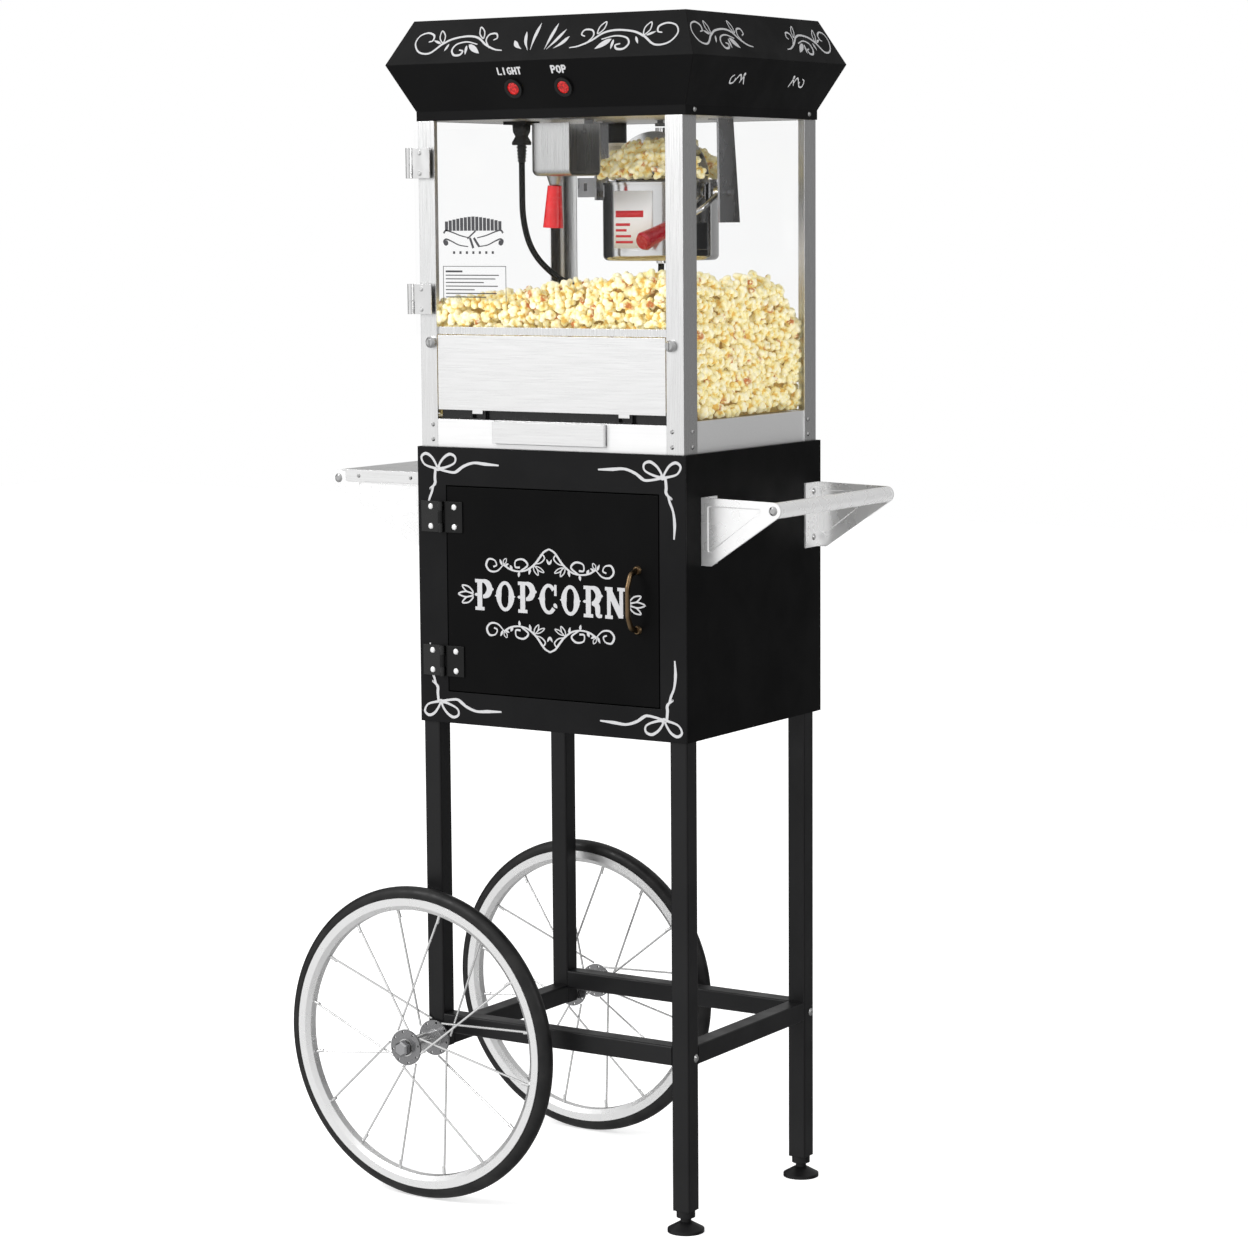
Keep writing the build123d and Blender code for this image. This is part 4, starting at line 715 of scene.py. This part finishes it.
def make_mound():
    """Popcorn that pushes out over the two kettle lids, in a front and a rear half that ride on the kettle.
    """
    shapes = make_kernel_shapes(8, 3)
    layers = np.arange(LID_TOP + 7, MOUND_TOP, MOUND_STEP * 0.75)
    across = (KETTLE_Y - MOUND_REACH, KETTLE_Y + MOUND_REACH)
    grid = jittered(KETTLE_X - MOUND_REACH, KETTLE_X + MOUND_REACH, MOUND_STEP, across)
    rows = []
    for z in layers:
        shifted = grid + rng.uniform(-4, 4, grid.shape)
        from_axis = np.hypot(shifted[:, 0] - KETTLE_X, shifted[:, 1] - KETTLE_Y)
        dome = LID_TOP + DOME_HEIGHT * np.sqrt(np.clip(1 - (from_axis / DOME_RADIUS) ** 2, 0, 1))
        keep = (z + 5 < dome) & ((z > dome - DOME_SHELL) | (from_axis > 50))
        rows.append(np.column_stack([shifted[keep], np.full(keep.sum(), z)]))
    centres = np.concatenate(rows)
    from_middle = centres[:, 1] - KETTLE_Y
    for half, chosen in (("front", from_middle < -HALVES_FROM), ("rear", from_middle > HALVES_FROM)):
        piece = kernels_mesh(f"kettle_popcorn_{half}", "kettle", centres[chosen], shapes)
        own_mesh(piece)


make_heap()
make_mound()


# ---------------- printed artwork
class Print:
    """Thin printed shapes on a flat face: origin and axes in the frame, drawing in mm."""

    def __init__(self, origin, right, up):
        self.origin = Vector(origin)
        self.right = Vector(right).normalized()
        self.up = Vector(up).normalized()
        self.out = self.right.cross(self.up)
        self.verts, self.faces = [], []
        self.strokes = 0

    def place(self, x, y, lift):
        spot = self.right * x + self.up * y + self.out * lift
        self.verts.append(self.origin + spot * MM)

    def ribbon(self, line, widths, closed=False):
        """A strip along line; widths are one number or one for each point."""
        line = np.asarray(line, float)
        count = len(line)
        widths = np.broadcast_to(np.asarray(widths, float), (count,))
        ahead = np.roll(line, -1, axis=0) - np.roll(line, 1, axis=0)
        if not closed:
            ahead[0] = line[1] - line[0]
            ahead[-1] = line[-1] - line[-2]
        ahead /= np.maximum(np.linalg.norm(ahead, axis=1), 1e-9)[:, None]
        across = np.column_stack([-ahead[:, 1], ahead[:, 0]])
        half = np.maximum(widths, 0.12)[:, None] / 2
        # strokes next to each other differ in thickness, so they share no face where they cross
        thick = 0.16 + 0.012 * (self.strokes % 9)
        self.strokes += 1
        base = len(self.verts)
        for left, right in zip(line + across * half, line - across * half):
            for lift in (-0.05, thick):
                self.place(*left, lift)
                self.place(*right, lift)
        ring = [base + 4 * i for i in range(count)]
        spans = count if closed else count - 1
        for i in range(spans):
            a, b = ring[i], ring[(i + 1) % count]
            self.faces.append((a + 3, b + 3, b + 2, a + 2))
            self.faces.append((a, b, b + 1, a + 1))
            self.faces.append((a + 2, b + 2, b, a))
            self.faces.append((a + 1, b + 1, b + 3, a + 3))
        if not closed:
            a, b = ring[0], ring[-1]
            self.faces.append((a, a + 1, a + 3, a + 2))
            self.faces.append((b + 2, b + 3, b + 1, b))

    def bar(self, x0, x1, y0, y1):
        middle_y = (y0 + y1) / 2
        self.ribbon([(x0, middle_y), (x1, middle_y)], y1 - y0)

    def finish(self, name, material, body):
        mesh_piece(name, self.verts, self.faces, material, body, smooth=False)


class Pen:
    """Draws on a Print through a shift, a size and an optional flip left-right or upside down."""

    def __init__(self, sheet, x=0.0, y=0.0, size=1.0, flip_x=False, flip_y=False, stretch=1.0, weight=1.0):
        self.sheet = sheet
        self.shift = np.array([x, y])
        self.scale = np.array([size * stretch * (-1 if flip_x else 1), size * (-1 if flip_y else 1)])
        self.size = size * weight

    def stroke(self, points, widths, closed=False):
        """Strip through points; widths are spread evenly along it."""
        widths = np.atleast_1d(widths)
        spread = np.interp(np.linspace(0, 1, len(points)), np.linspace(0, 1, len(widths)), widths)
        self.sheet.ribbon(np.asarray(points) * self.scale + self.shift, spread * self.size, closed)

    def line(self, points, widths, closed=False, steps=7):
        """Smooth line through the points."""
        self.stroke(through(points, closed, steps), widths, closed)

    def straight(self, points, width):
        self.stroke(np.array(points, float), width)

    def leaf(self, x, y, tip_x, tip_y, width):
        """Filled leaf from its stalk to its tip."""
        share = np.linspace(0, 1, 9)
        line = np.outer(1 - share, (x, y)) + np.outer(share, (tip_x, tip_y))
        self.stroke(line, width * np.sin(np.pi * share**0.8) ** 0.8)

    def drop(self, points, width):
        """Filled drop along points, widest beyond its middle."""
        self.line(points, tuple(width * w for w in (0.08, 0.35, 0.75, 1.0, 0.85, 0.1)))

    def open_leaf(self, x, y, tip_x, tip_y, width, line_width):
        """Outlined leaf from its stalk to its tip."""
        along = np.array([tip_x - x, tip_y - y], float)
        across = np.array([-along[1], along[0]]) / np.linalg.norm(along) * width / 2
        start = np.array([x, y], float)
        rim = [start, start + along * 0.5 + across, start + along, start + along * 0.5 - across]
        self.line(rim, line_width, closed=True, steps=8)

    def ring(self, x, y, radius_x, radius_y, widths, start=0, stop=360):
        """Arc round (x, y), counter-clockwise in degrees; closed if it is a full turn."""
        full = abs(stop - start) >= 360
        angles = np.radians(np.linspace(start, stop, 33)[: -1 if full else None])
        line = np.column_stack([x + radius_x * np.cos(angles), y + radius_y * np.sin(angles)])
        self.stroke(line, widths, full)


def through(points, closed, steps):
    """Catmull-Rom line through the points."""
    points = np.asarray(points, float)
    count = len(points)
    if closed:
        padded_points = np.concatenate([points[-1:], points, points[:2]])
        spans = count
    else:
        first, last = 2 * points[0] - points[1], 2 * points[-1] - points[-2]
        padded_points = np.concatenate([[first], points, [last]])
        spans = count - 1
    rows = []
    for i in range(spans):
        a, b, c, d = padded_points[i : i + 4]
        square, cube = 2 * a - 5 * b + 4 * c - d, 3 * b - a - 3 * c + d
        for t in np.linspace(0, 1, steps, endpoint=False):
            rows.append(0.5 * (2 * b + (c - a) * t + square * t**2 + cube * t**3))
    if not closed:
        rows.append(points[-1])
    return np.array(rows)


# slab letters 27 mm wide and 40 mm high
BOWL = (4.0, 8.2, 8.6, 8.2, 4.0)


def stem(pen, x, serifs=(2.2, 37.8), width=7.4, reach=3.2):
    """Upright with slab serifs at the given heights."""
    pen.straight([(x, 1.5), (x, 38.5)], width)
    for y in serifs:
        pen.straight([(x - width / 2 - reach, y), (x + width / 2 + reach, y)], 4.4)


def letter_p(pen):
    stem(pen, 7.5)
    pen.ring(12.5, 28.0, 10.0, 10.0, BOWL, 90, -90)
    pen.leaf(24.0, 28.0, 29.0, 28.0, 4.5)
    pen.leaf(5.0, 20.0, -0.5, 20.0, 4.0)


def letter_o(pen):
    pen.ring(13.5, 20.0, 9.6, 17.2, (8.8, 5.0, 4.4, 5.0, 8.8, 5.0, 4.4, 5.0, 8.8))
    pen.leaf(21.0, 20.0, 29.0, 20.0, 4.5)
    pen.leaf(6.0, 20.0, -2.0, 20.0, 4.5)


def letter_c(pen):
    pen.ring(14.0, 20.0, 9.8, 17.2, (5.6, 4.4, 5.0, 8.8, 5.0, 4.4, 5.6), 42, 318)
    pen.straight([(24.0, 24.5), (24.0, 38.5)], 3.6)
    pen.leaf(21.5, 14.5, 26.5, 9.0, 5.0)
    pen.leaf(6.0, 20.0, -2.0, 20.0, 4.5)


def letter_r(pen):
    letter_p(pen)
    pen.line([(14.0, 19.0), (20.5, 15.0), (21.8, 4.0), (27.5, 2.4)], (6.5, 7.6, 6.8, 3.6))


def letter_n(pen):
    stem(pen, 5.0, width=5.4, reach=2.8)
    stem(pen, 23.0, (37.8,), width=5.4, reach=2.8)
    pen.line([(5.0, 37.0), (14.0, 20.0), (23.0, 3.0)], (8.0, 8.4, 8.0))


WORD = (letter_p, letter_o, letter_p, letter_c, letter_o, letter_r, letter_n)


def draw_word(sheet, left, low, width, height):
    """POPCORN in slab letters."""
    pitch = width / len(WORD)
    for number, letter in enumerate(WORD):
        pen = Pen(sheet, left + number * pitch + 2.2, low, height / 40.0, stretch=pitch / 32.6)
        letter(pen)


def draw_ornament(sheet, x, y, size, upside_down=False):
    """Scrollwork 196 mm wide and 36 mm high, the same to the left and right of an arch."""
    for flip in (False, True):
        pen = Pen(sheet, x, y, size, flip_x=flip, flip_y=upside_down)
        outer = [(70, 12), (80, 3.5), (91, 3), (97, 10), (93, 18), (84, 17), (81, 11), (86, 8.5)]
        pen.line(outer, (1.4, 2.4, 3.0, 1.6, 2.2))
        arch = [(70, 12), (60, 6.5), (47, 4.5), (34, 7), (22, 15), (14, 24), (8, 31), (0, 35)]
        pen.line(arch, (2.6, 2.0, 3.0, 2.2))
        pen.line([(44, 5), (33, 13), (40, 20), (51, 18), (52, 10), (45, 9.5)], (2.0, 2.8, 1.8, 2.6))
        pen.line([(22, 15), (13, 17), (7, 23), (11, 28), (15, 24)], (1.2, 2.0, 1.4))
        pen.open_leaf(70, 13, 66, 20, 4.5, 1.2)
        pen.leaf(72, 11, 76, 19, 3.4)
        pen.leaf(68, 11, 62, 13.5, 3.0)
        pen.leaf(57, 6, 60, 12, 4.0)
        pen.leaf(46, 4, 47, -3, 3.6)
        pen.open_leaf(24, 13, 17, 1, 5.2, 1.5)
        pen.open_leaf(21, 12, 8, 5, 4.2, 1.4)
        pen.leaf(29, 9, 31, 1, 3.6)
        pen.leaf(0, 15, 4, 22, 3.0)


def draw_banner(sheet, x, y):
    """Arch of upright bars over a ribbon with curled ends, and a row of dots."""
    pen = Pen(sheet, x, y)
    for number in range(15):
        across = 5.9 * (number - 7)
        top = 19.0 - 6.0 * (abs(across) / 41.0) ** 1.5
        pen.straight([(across, 1.0), (across, top)], 4.7)
    for flip in (False, True):
        half = Pen(sheet, x, y, flip_x=flip)
        half.line([(6, -8), (20, -5), (32, -1), (42, 1.5), (46, -2)], (1.3, 1.7, 2.6))
        half.line([(8, -19), (22, -17), (34, -12), (42, -9.5), (46, -12)], (1.3, 1.7, 2.6))
        half.leaf(39, -16, 47, -12, 7.0)
    for start, end, width in (((-9, -9), (4, 1), 2.0), ((-5, -8), (0, -21), 3.2), ((1, -8), (9, -19), 3.2)):
        pen.straight([start, end], width)
    for number in range(7):
        across = 10.0 * (number - 3)
        pen.straight([(across - 1.6, -26.5), (across + 1.6, -26.5)], 3.4)


def draw_leaves(sheet, x, y, flip):
    """Three leaves that close the word's end."""
    pen = Pen(sheet, x, y, flip_x=flip)
    for tip_x, tip_y in ((-17, 11), (-23, 0), (-17, -11)):
        pen.open_leaf(0, tip_y * 0.25, tip_x, tip_y, 7.0, 2.0)


def draw_bow(sheet, x, y, flip_x, flip_y):
    """Ribbon bow of a corner, with one tail along each edge."""
    pen = Pen(sheet, x, y, flip_x=flip_x, flip_y=flip_y)
    loop = (2.6, 3.8, 2.4, 3.6)
    pen.line([(1, 1), (9, 14), (19, 19), (26, 14), (21, 5), (8, 1)], loop, closed=True)
    pen.line([(-1, 1), (-7, 12), (-18, 19), (-27, 16), (-26, 8), (-12, 2)], loop, closed=True)
    pen.line([(0, 0), (-13, -3), (-27, -4), (-38, 2), (-42, 5)], (3.6, 3.0, 3.4, 2.2, 0.8))
    pen.line([(-24, -5), (-40, 4), (-56, 9), (-74, 8), (-95, 7)], (1.6, 3.8, 3.2, 4.2, 2.0))
    pen.line([(4, 0), (5, -12), (5, -20), (13, -26), (9, -26)], (3.6, 4.2, 2.6, 1.0))
    pen.line([(6, -18), (10, -30), (15, -42), (17, -58), (16, -76)], (1.6, 3.4, 3.0, 4.2, 2.0))
    pen.line([(-4, 1.5), (0, -0.5), (4, 1)], 5.4)


def draw_scroll(sheet, x, y, flip, width):
    """Canopy scroll: a big loop, an arch with leaves and two curls."""
    pen = Pen(sheet, x, y, flip_x=flip, stretch=width / 136.0, weight=0.82)
    loop = [(42, 17), (26, 5), (9, 7), (0, 19), (4, 30), (16, 34), (26, 30), (26, 23), (20, 21)]
    pen.line(loop, (3.4, 2.8, 2.2, 3.4, 1.8))
    arch = [(42, 17), (57, 24), (79, 27), (96, 24), (110, 14), (125, 7), (137, 5)]
    pen.line(arch, (3.6, 3.2, 3.4, 3.0, 1.6))
    curl = [(97, 15), (80, 19), (65, 16), (60, 8), (65, 1), (74, 1), (77, 6), (71, 8)]
    pen.line(curl, (1.8, 2.8, 3.6, 2.0))
    pen.line([(117, 9), (109, 20), (112, 28), (122, 29), (125, 23), (120, 20)], (1.8, 3.0, 1.8))
    pen.leaf(84, 15, 103, 2, 9.0)
    pen.leaf(81, 14, 82, 1, 4.6)
    pen.open_leaf(43, 19, 37, 36, 8.0, 2.0)
    pen.leaf(40, 18, 28, 23, 4.0)
    pen.open_leaf(104, 23, 96, 39, 7.0, 2.0)
    pen.leaf(53, 17, 48, 7, 4.0)


# drops of the two fans on the canopy: points from foot to tip, and width
LEFT_SPRAY = (
    (((2, 0), (4, 18), (9, 37)), 4.5),
    (((-2, 0), (-8, 12), (-10, 26)), 4.5),
    (((-12, 2), (-20, 7), (-25, 14)), 6.0),
)
RIGHT_SPRAY = (
    (((0, 0), (5, 16), (12, 36)), 4.5),
    (((3, 0), (14, 12), (26, 27)), 4.2),
    (((13, 1), (24, 8), (33, 17)), 5.0),
)


def draw_spray(sheet, x, y, drops):
    """A fan of drops, pointed at the foot and round at the tip."""
    pen = Pen(sheet, x, y)
    for points, width in drops:
        pen.drop(points, width)


def draw_flourish(sheet, x, y, flip):
    """Small three-stroke flourish."""
    pen = Pen(sheet, x, y, flip_x=flip)
    pen.line([(2, 12), (-4, 8), (-3, 1), (5, 2), (7, 8)], (1.2, 2.2, 1.2))
    pen.line([(6, 3), (14, 12), (18, 11), (21, 5)], (1.2, 2.4, 1.6))
    pen.line([(19, 2), (26, 13), (24, 13), (29, 3), (31, 0)], (1.2, 2.8, 2.0, 1.0))


# plain capitals on a grid 4 wide and 6 high
CAPITALS = {
    "L": [[(0.5, 6), (0.5, 0.5), (3.6, 0.5)]],
    "I": [[(1.5, 0), (1.5, 6)]],
    "G": [[(3.4, 5), (2, 5.6), (0.6, 4.4), (0.6, 1.6), (2, 0.4), (3.3, 1), (3.3, 2.8), (2.2, 2.8)]],
    "H": [[(0.5, 0), (0.5, 6)], [(3.3, 0), (3.3, 6)], [(0.5, 3), (3.3, 3)]],
    "T": [[(1.9, 0), (1.9, 6)], [(0, 5.5), (3.8, 5.5)]],
    "P": [[(0.6, 0), (0.6, 6)], [(0.6, 5.5), (2.8, 5.4), (3.3, 4.2), (2.8, 3), (0.6, 2.8)]],
    "O": [[(1.9, 5.6), (0.5, 4.4), (0.5, 1.6), (1.9, 0.4), (3.3, 1.6), (3.3, 4.4), (1.9, 5.6)]],
}


def draw_capitals(sheet, word, x, y, height):
    size = height / 6.0
    for number, letter in enumerate(word):
        for line in CAPITALS[letter]:
            Pen(sheet, x + number * 4.5 * size, y, size).straight(line, 1.35)


# rivets of the cart hinges, in metres
HINGE_HEIGHT = 0.040
RIVET_RADIUS, RIVET_RISE, RIVET_SIDES, RIVET_RINGS = 0.0040, 0.0022, 20, 5
RIVET_ROWS = (("hinge_rivets_door", -0.1455, "cart_door"), ("hinge_rivets_frame", -0.1823, "root"))


def front_of(node):
    """Y of a node's front face, in metres."""
    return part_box(node)[0].y


def front_print(node):
    """A Print on a node's front face, in column millimetres."""
    return Print((COLUMN.x, front_of(node), 0), (1, 0, 0), (0, 0, 1))


def make_cart_prints():
    door = front_print("cart_door")
    draw_word(door, -117.5, 778.0, 233.0, 40.0)
    draw_ornament(door, 0.0, 826.5, 1.0)
    draw_ornament(door, 0.0, 765.0, 1.0, upside_down=True)
    draw_leaves(door, -118.0, 797.5, False)
    draw_leaves(door, 120.0, 797.5, True)
    door.finish("door_print", white_ink, "cart_door")
    corners = front_print("cart_front_frame")
    for y, low in ((958.0, False), (655.0, True)):
        draw_bow(corners, 170.0, y, False, low)
        draw_bow(corners, -171.0, y, True, low)
    corners.finish("cart_corner_bows", white_ink, "root")


# corners of the canopy's profile: half width, half depth and height, in column millimetres
EAVES, BROW, CROWN = (201.8, 163.0, 1413.1), (230.0, 190.4, 1471.9), (203.0, 163.3, 1527.3)


def canopy_face(low, high, side):
    """A Print on one of the canopy's slopes, with its origin at the middle of the lower edge."""
    rise = high[2] - low[2]
    if side:
        origin = to_frame((low[0], 0.0, low[2]))
        return Print(origin, (0, 1, 0), (high[0] - low[0], 0, rise))
    origin = to_frame((0.0, -low[1], low[2]))
    return Print(origin, (1, 0, 0), (0, low[1] - high[1], rise))


def make_canopy_prints():
    front = canopy_face(BROW, CROWN, False)
    draw_scroll(front, -191.0, 10.0, False, 136.0)
    draw_scroll(front, 200.0, 10.0, True, 152.0)
    draw_spray(front, -13.0, 14.0, LEFT_SPRAY)
    draw_spray(front, 10.0, 14.0, RIGHT_SPRAY)
    front.finish("canopy_front_scrolls", white_ink, "root")
    side = canopy_face(BROW, CROWN, True)
    draw_scroll(side, -171.0, 11.0, False, 134.0)
    draw_scroll(side, 168.0, 11.0, True, 118.0)
    side.finish("canopy_side_scrolls", white_ink, "root")
    flourishes = canopy_face(EAVES, BROW, True)
    draw_flourish(flourishes, -78.0, 30.0, False)
    draw_flourish(flourishes, 95.0, 30.0, True)
    flourishes.finish("canopy_side_flourishes", white_ink, "root")
    labels = canopy_face(EAVES, BROW, False)
    draw_capitals(labels, "LIGHT", -60.5, 46.5, 9.8)
    draw_capitals(labels, "POP", 20.0, 46.5, 10.5)
    labels.finish("switch_labels", white_ink, "root")


def make_glass_prints():
    """Plain banner and a bordered notice with bars, on the outside of the glass door."""
    pane = front_print("glass_door")
    draw_banner(pane, -111.0, 1261.0)
    left, right, top, low = -158.5, -61.0, 1217.5, 1172.0
    pane.bar(left, right, top - 0.8, top)
    for x in (left + 0.4, right - 0.4):
        pane.ribbon([(x, low), (x, top)], 0.8)
    pane.bar(left + 4, left + 30, top - 8.0, top - 5.6)
    for number, share in enumerate((0.92, 0.86, 0.66, 0.9, 0.5, 0.88, 0.7)):
        line_top = top - 11.0 - number * 4.6
        pane.bar(left + 4, left + 4 + share * (right - left - 8), line_top - 1.3, line_top)
    pane.finish("glass_door_print", grey_ink, "glass_door")


def make_hinge_rivets():
    """Bright domed rivets over the screw heads of the two black cart hinges."""
    face_y = front_of("cart_front_frame") - 1.5 * MM
    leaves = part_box("cart_hinge_door_leaves")
    heights = []
    for hinge_z in (leaves[0].z, leaves[1].z - HINGE_HEIGHT):
        heights += [hinge_z + 0.0075, hinge_z + HINGE_HEIGHT - 0.007]
    for name, x, body in RIVET_ROWS:
        verts, faces = [], []
        for z in heights:
            base = len(verts)
            for ring in range(RIVET_RINGS + 1):
                lean = math.pi / 2 * ring / RIVET_RINGS
                radius = RIVET_RADIUS * math.cos(lean)
                y = face_y - RIVET_RISE * math.sin(lean)
                for k in range(RIVET_SIDES):
                    turn = 2 * math.pi * k / RIVET_SIDES
                    verts.append((COLUMN.x + x + radius * math.cos(turn), y, z + radius * math.sin(turn)))
            for ring in range(RIVET_RINGS):
                for k in range(RIVET_SIDES):
                    a = base + ring * RIVET_SIDES + k
                    b = base + ring * RIVET_SIDES + (k + 1) % RIVET_SIDES
                    faces.append((a, b, b + RIVET_SIDES, a + RIVET_SIDES))
            faces.append(tuple(base + k for k in reversed(range(RIVET_SIDES))))
        mesh_piece(name, verts, faces, finish_of["bracket_chrome"], body)


def curved_patch(name, radius, angles, heights, thick, material):
    """Closed thin sheet round the kettle's axis, with angles in degrees from the front."""
    steps = 24
    verts, faces = [], []
    for angle in np.radians(np.linspace(*angles, steps + 1)):
        for reach in (radius - 0.05, radius + thick):
            for z in heights:
                x, y = KETTLE_X + reach * math.sin(angle), KETTLE_Y - reach * math.cos(angle)
                verts.append(to_frame((x, y, z)))
    for i in range(steps):
        a, b = 4 * i, 4 * (i + 1)
        for near, far in ((2, 3), (1, 0), (3, 1), (0, 2)):
            faces.append((a + near, b + near, b + far, a + far))
    end = 4 * steps
    faces += [(0, 2, 3, 1), (end + 1, end + 3, end + 2, end)]
    mesh_piece(name, verts, faces, material, "kettle")


# bars of the kettle's label: lower and upper edge, and the angle where each ends
LABEL_BARS = ((1277.5, 1286.0, 15), (1266.5, 1270.0, 1), (1259.5, 1262.5, -3))
LABEL_BARS += ((1252.0, 1255.0, 2), (1244.5, 1247.5, 4))


def make_kettle_label():
    """White patch with plain red bars on the front of the pot."""
    low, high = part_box("kettle_pot")
    radius = (high.y - low.y) / 2 / MM
    curved_patch("kettle_label", radius, (-20, 24), (1238.0, 1311.0), 0.15, label_paper)
    for number, (z0, z1, stop) in enumerate(LABEL_BARS, 1):
        curved_patch(f"kettle_label_bar_{number}", radius + 0.15, (-17, stop), (z0, z1), 0.12, red_ink)


make_hinge_rivets()
make_cart_prints()
make_canopy_prints()
make_glass_prints()
make_kettle_label()


# ---------------- studio
# the studio is brightest from the front left and above, with two dark cards at the sides
SKY_DIRECTION = (-0.42, -0.66, 0.62)
# direction of each card and the cosines where it fades in and is full
DARK_CARDS = (((-0.94, 0.34, 0.0), 0.788, 0.866), ((0.906, 0.423, 0.0), 0.866, 0.927))


def make_world():
    """White towards the camera; a soft studio for all other rays."""
    world = bpy.data.worlds.new("studio")
    bpy.context.scene.world = world
    world.use_nodes = True
    tree = world.node_tree
    tree.nodes.clear()
    place = add_node(tree, "TexCoord").outputs["Generated"]

    def along(direction, near, far, near_value, far_value):
        """Value that changes with the angle to a direction, between two cosines."""
        cosine = add_node(tree, "VectorMath", place, direction, operation="DOT_PRODUCT").outputs["Value"]
        return add_node(tree, "MapRange", cosine, near, far, near_value, far_value).outputs["Result"]

    strength = along(SKY_DIRECTION, -0.85, 0.70, 0.32, 1.12)
    for card, faint, full in DARK_CARDS:
        dimming = along(card, faint, full, 1.0, 0.04)
        strength = add_node(tree, "Math", strength, dimming, operation="MULTIPLY").outputs[0]
    soft = add_node(tree, "Background", None, strength)
    white = add_node(tree, "Background", (1, 1, 1, 1))
    seen = add_node(tree, "LightPath").outputs["Is Camera Ray"]
    mix = add_node(tree, "MixShader", seen, soft.outputs[0], white.outputs[0])
    add_node(tree, "OutputWorld", mix.outputs[0])


def area_light(name, at, towards, size, watts):
    data = bpy.data.lights.new(name, "AREA")
    data.shape = "SQUARE"
    data.size = size
    data.energy = watts
    lamp = bpy.data.objects.new(name, data)
    lamp.location = at
    lamp.rotation_euler = (Vector(towards) - Vector(at)).to_track_quat("-Z", "Y").to_euler()
    bpy.context.scene.collection.objects.link(lamp)


def make_floor():
    half = 9.0
    corners = [(-half, -half, 0), (half, -half, 0), (half, half, 0), (-half, half, 0)]
    paper = Shader("floor_paper", grey(0.92), 0.9, specular=0.1)
    paper.set("Emission Color", (1, 1, 1, 1))
    paper.set("Emission Strength", 0.55)
    floor = mesh_piece("floor", corners, [(0, 1, 2, 3)], paper.material, None, smooth=False)
    # upright metal would otherwise mirror the far floor in place of the studio
    floor.visible_glossy = False


make_world()
make_floor()
area_light("key", (-1.6, -2.6, 2.9), (0, 0, 0.9), 1.6, 60)
area_light("fill_right", (2.8, -0.4, 1.7), (0, 0, 1.1), 1.2, 12)
bpy.context.scene.view_settings.view_transform = "Standard"
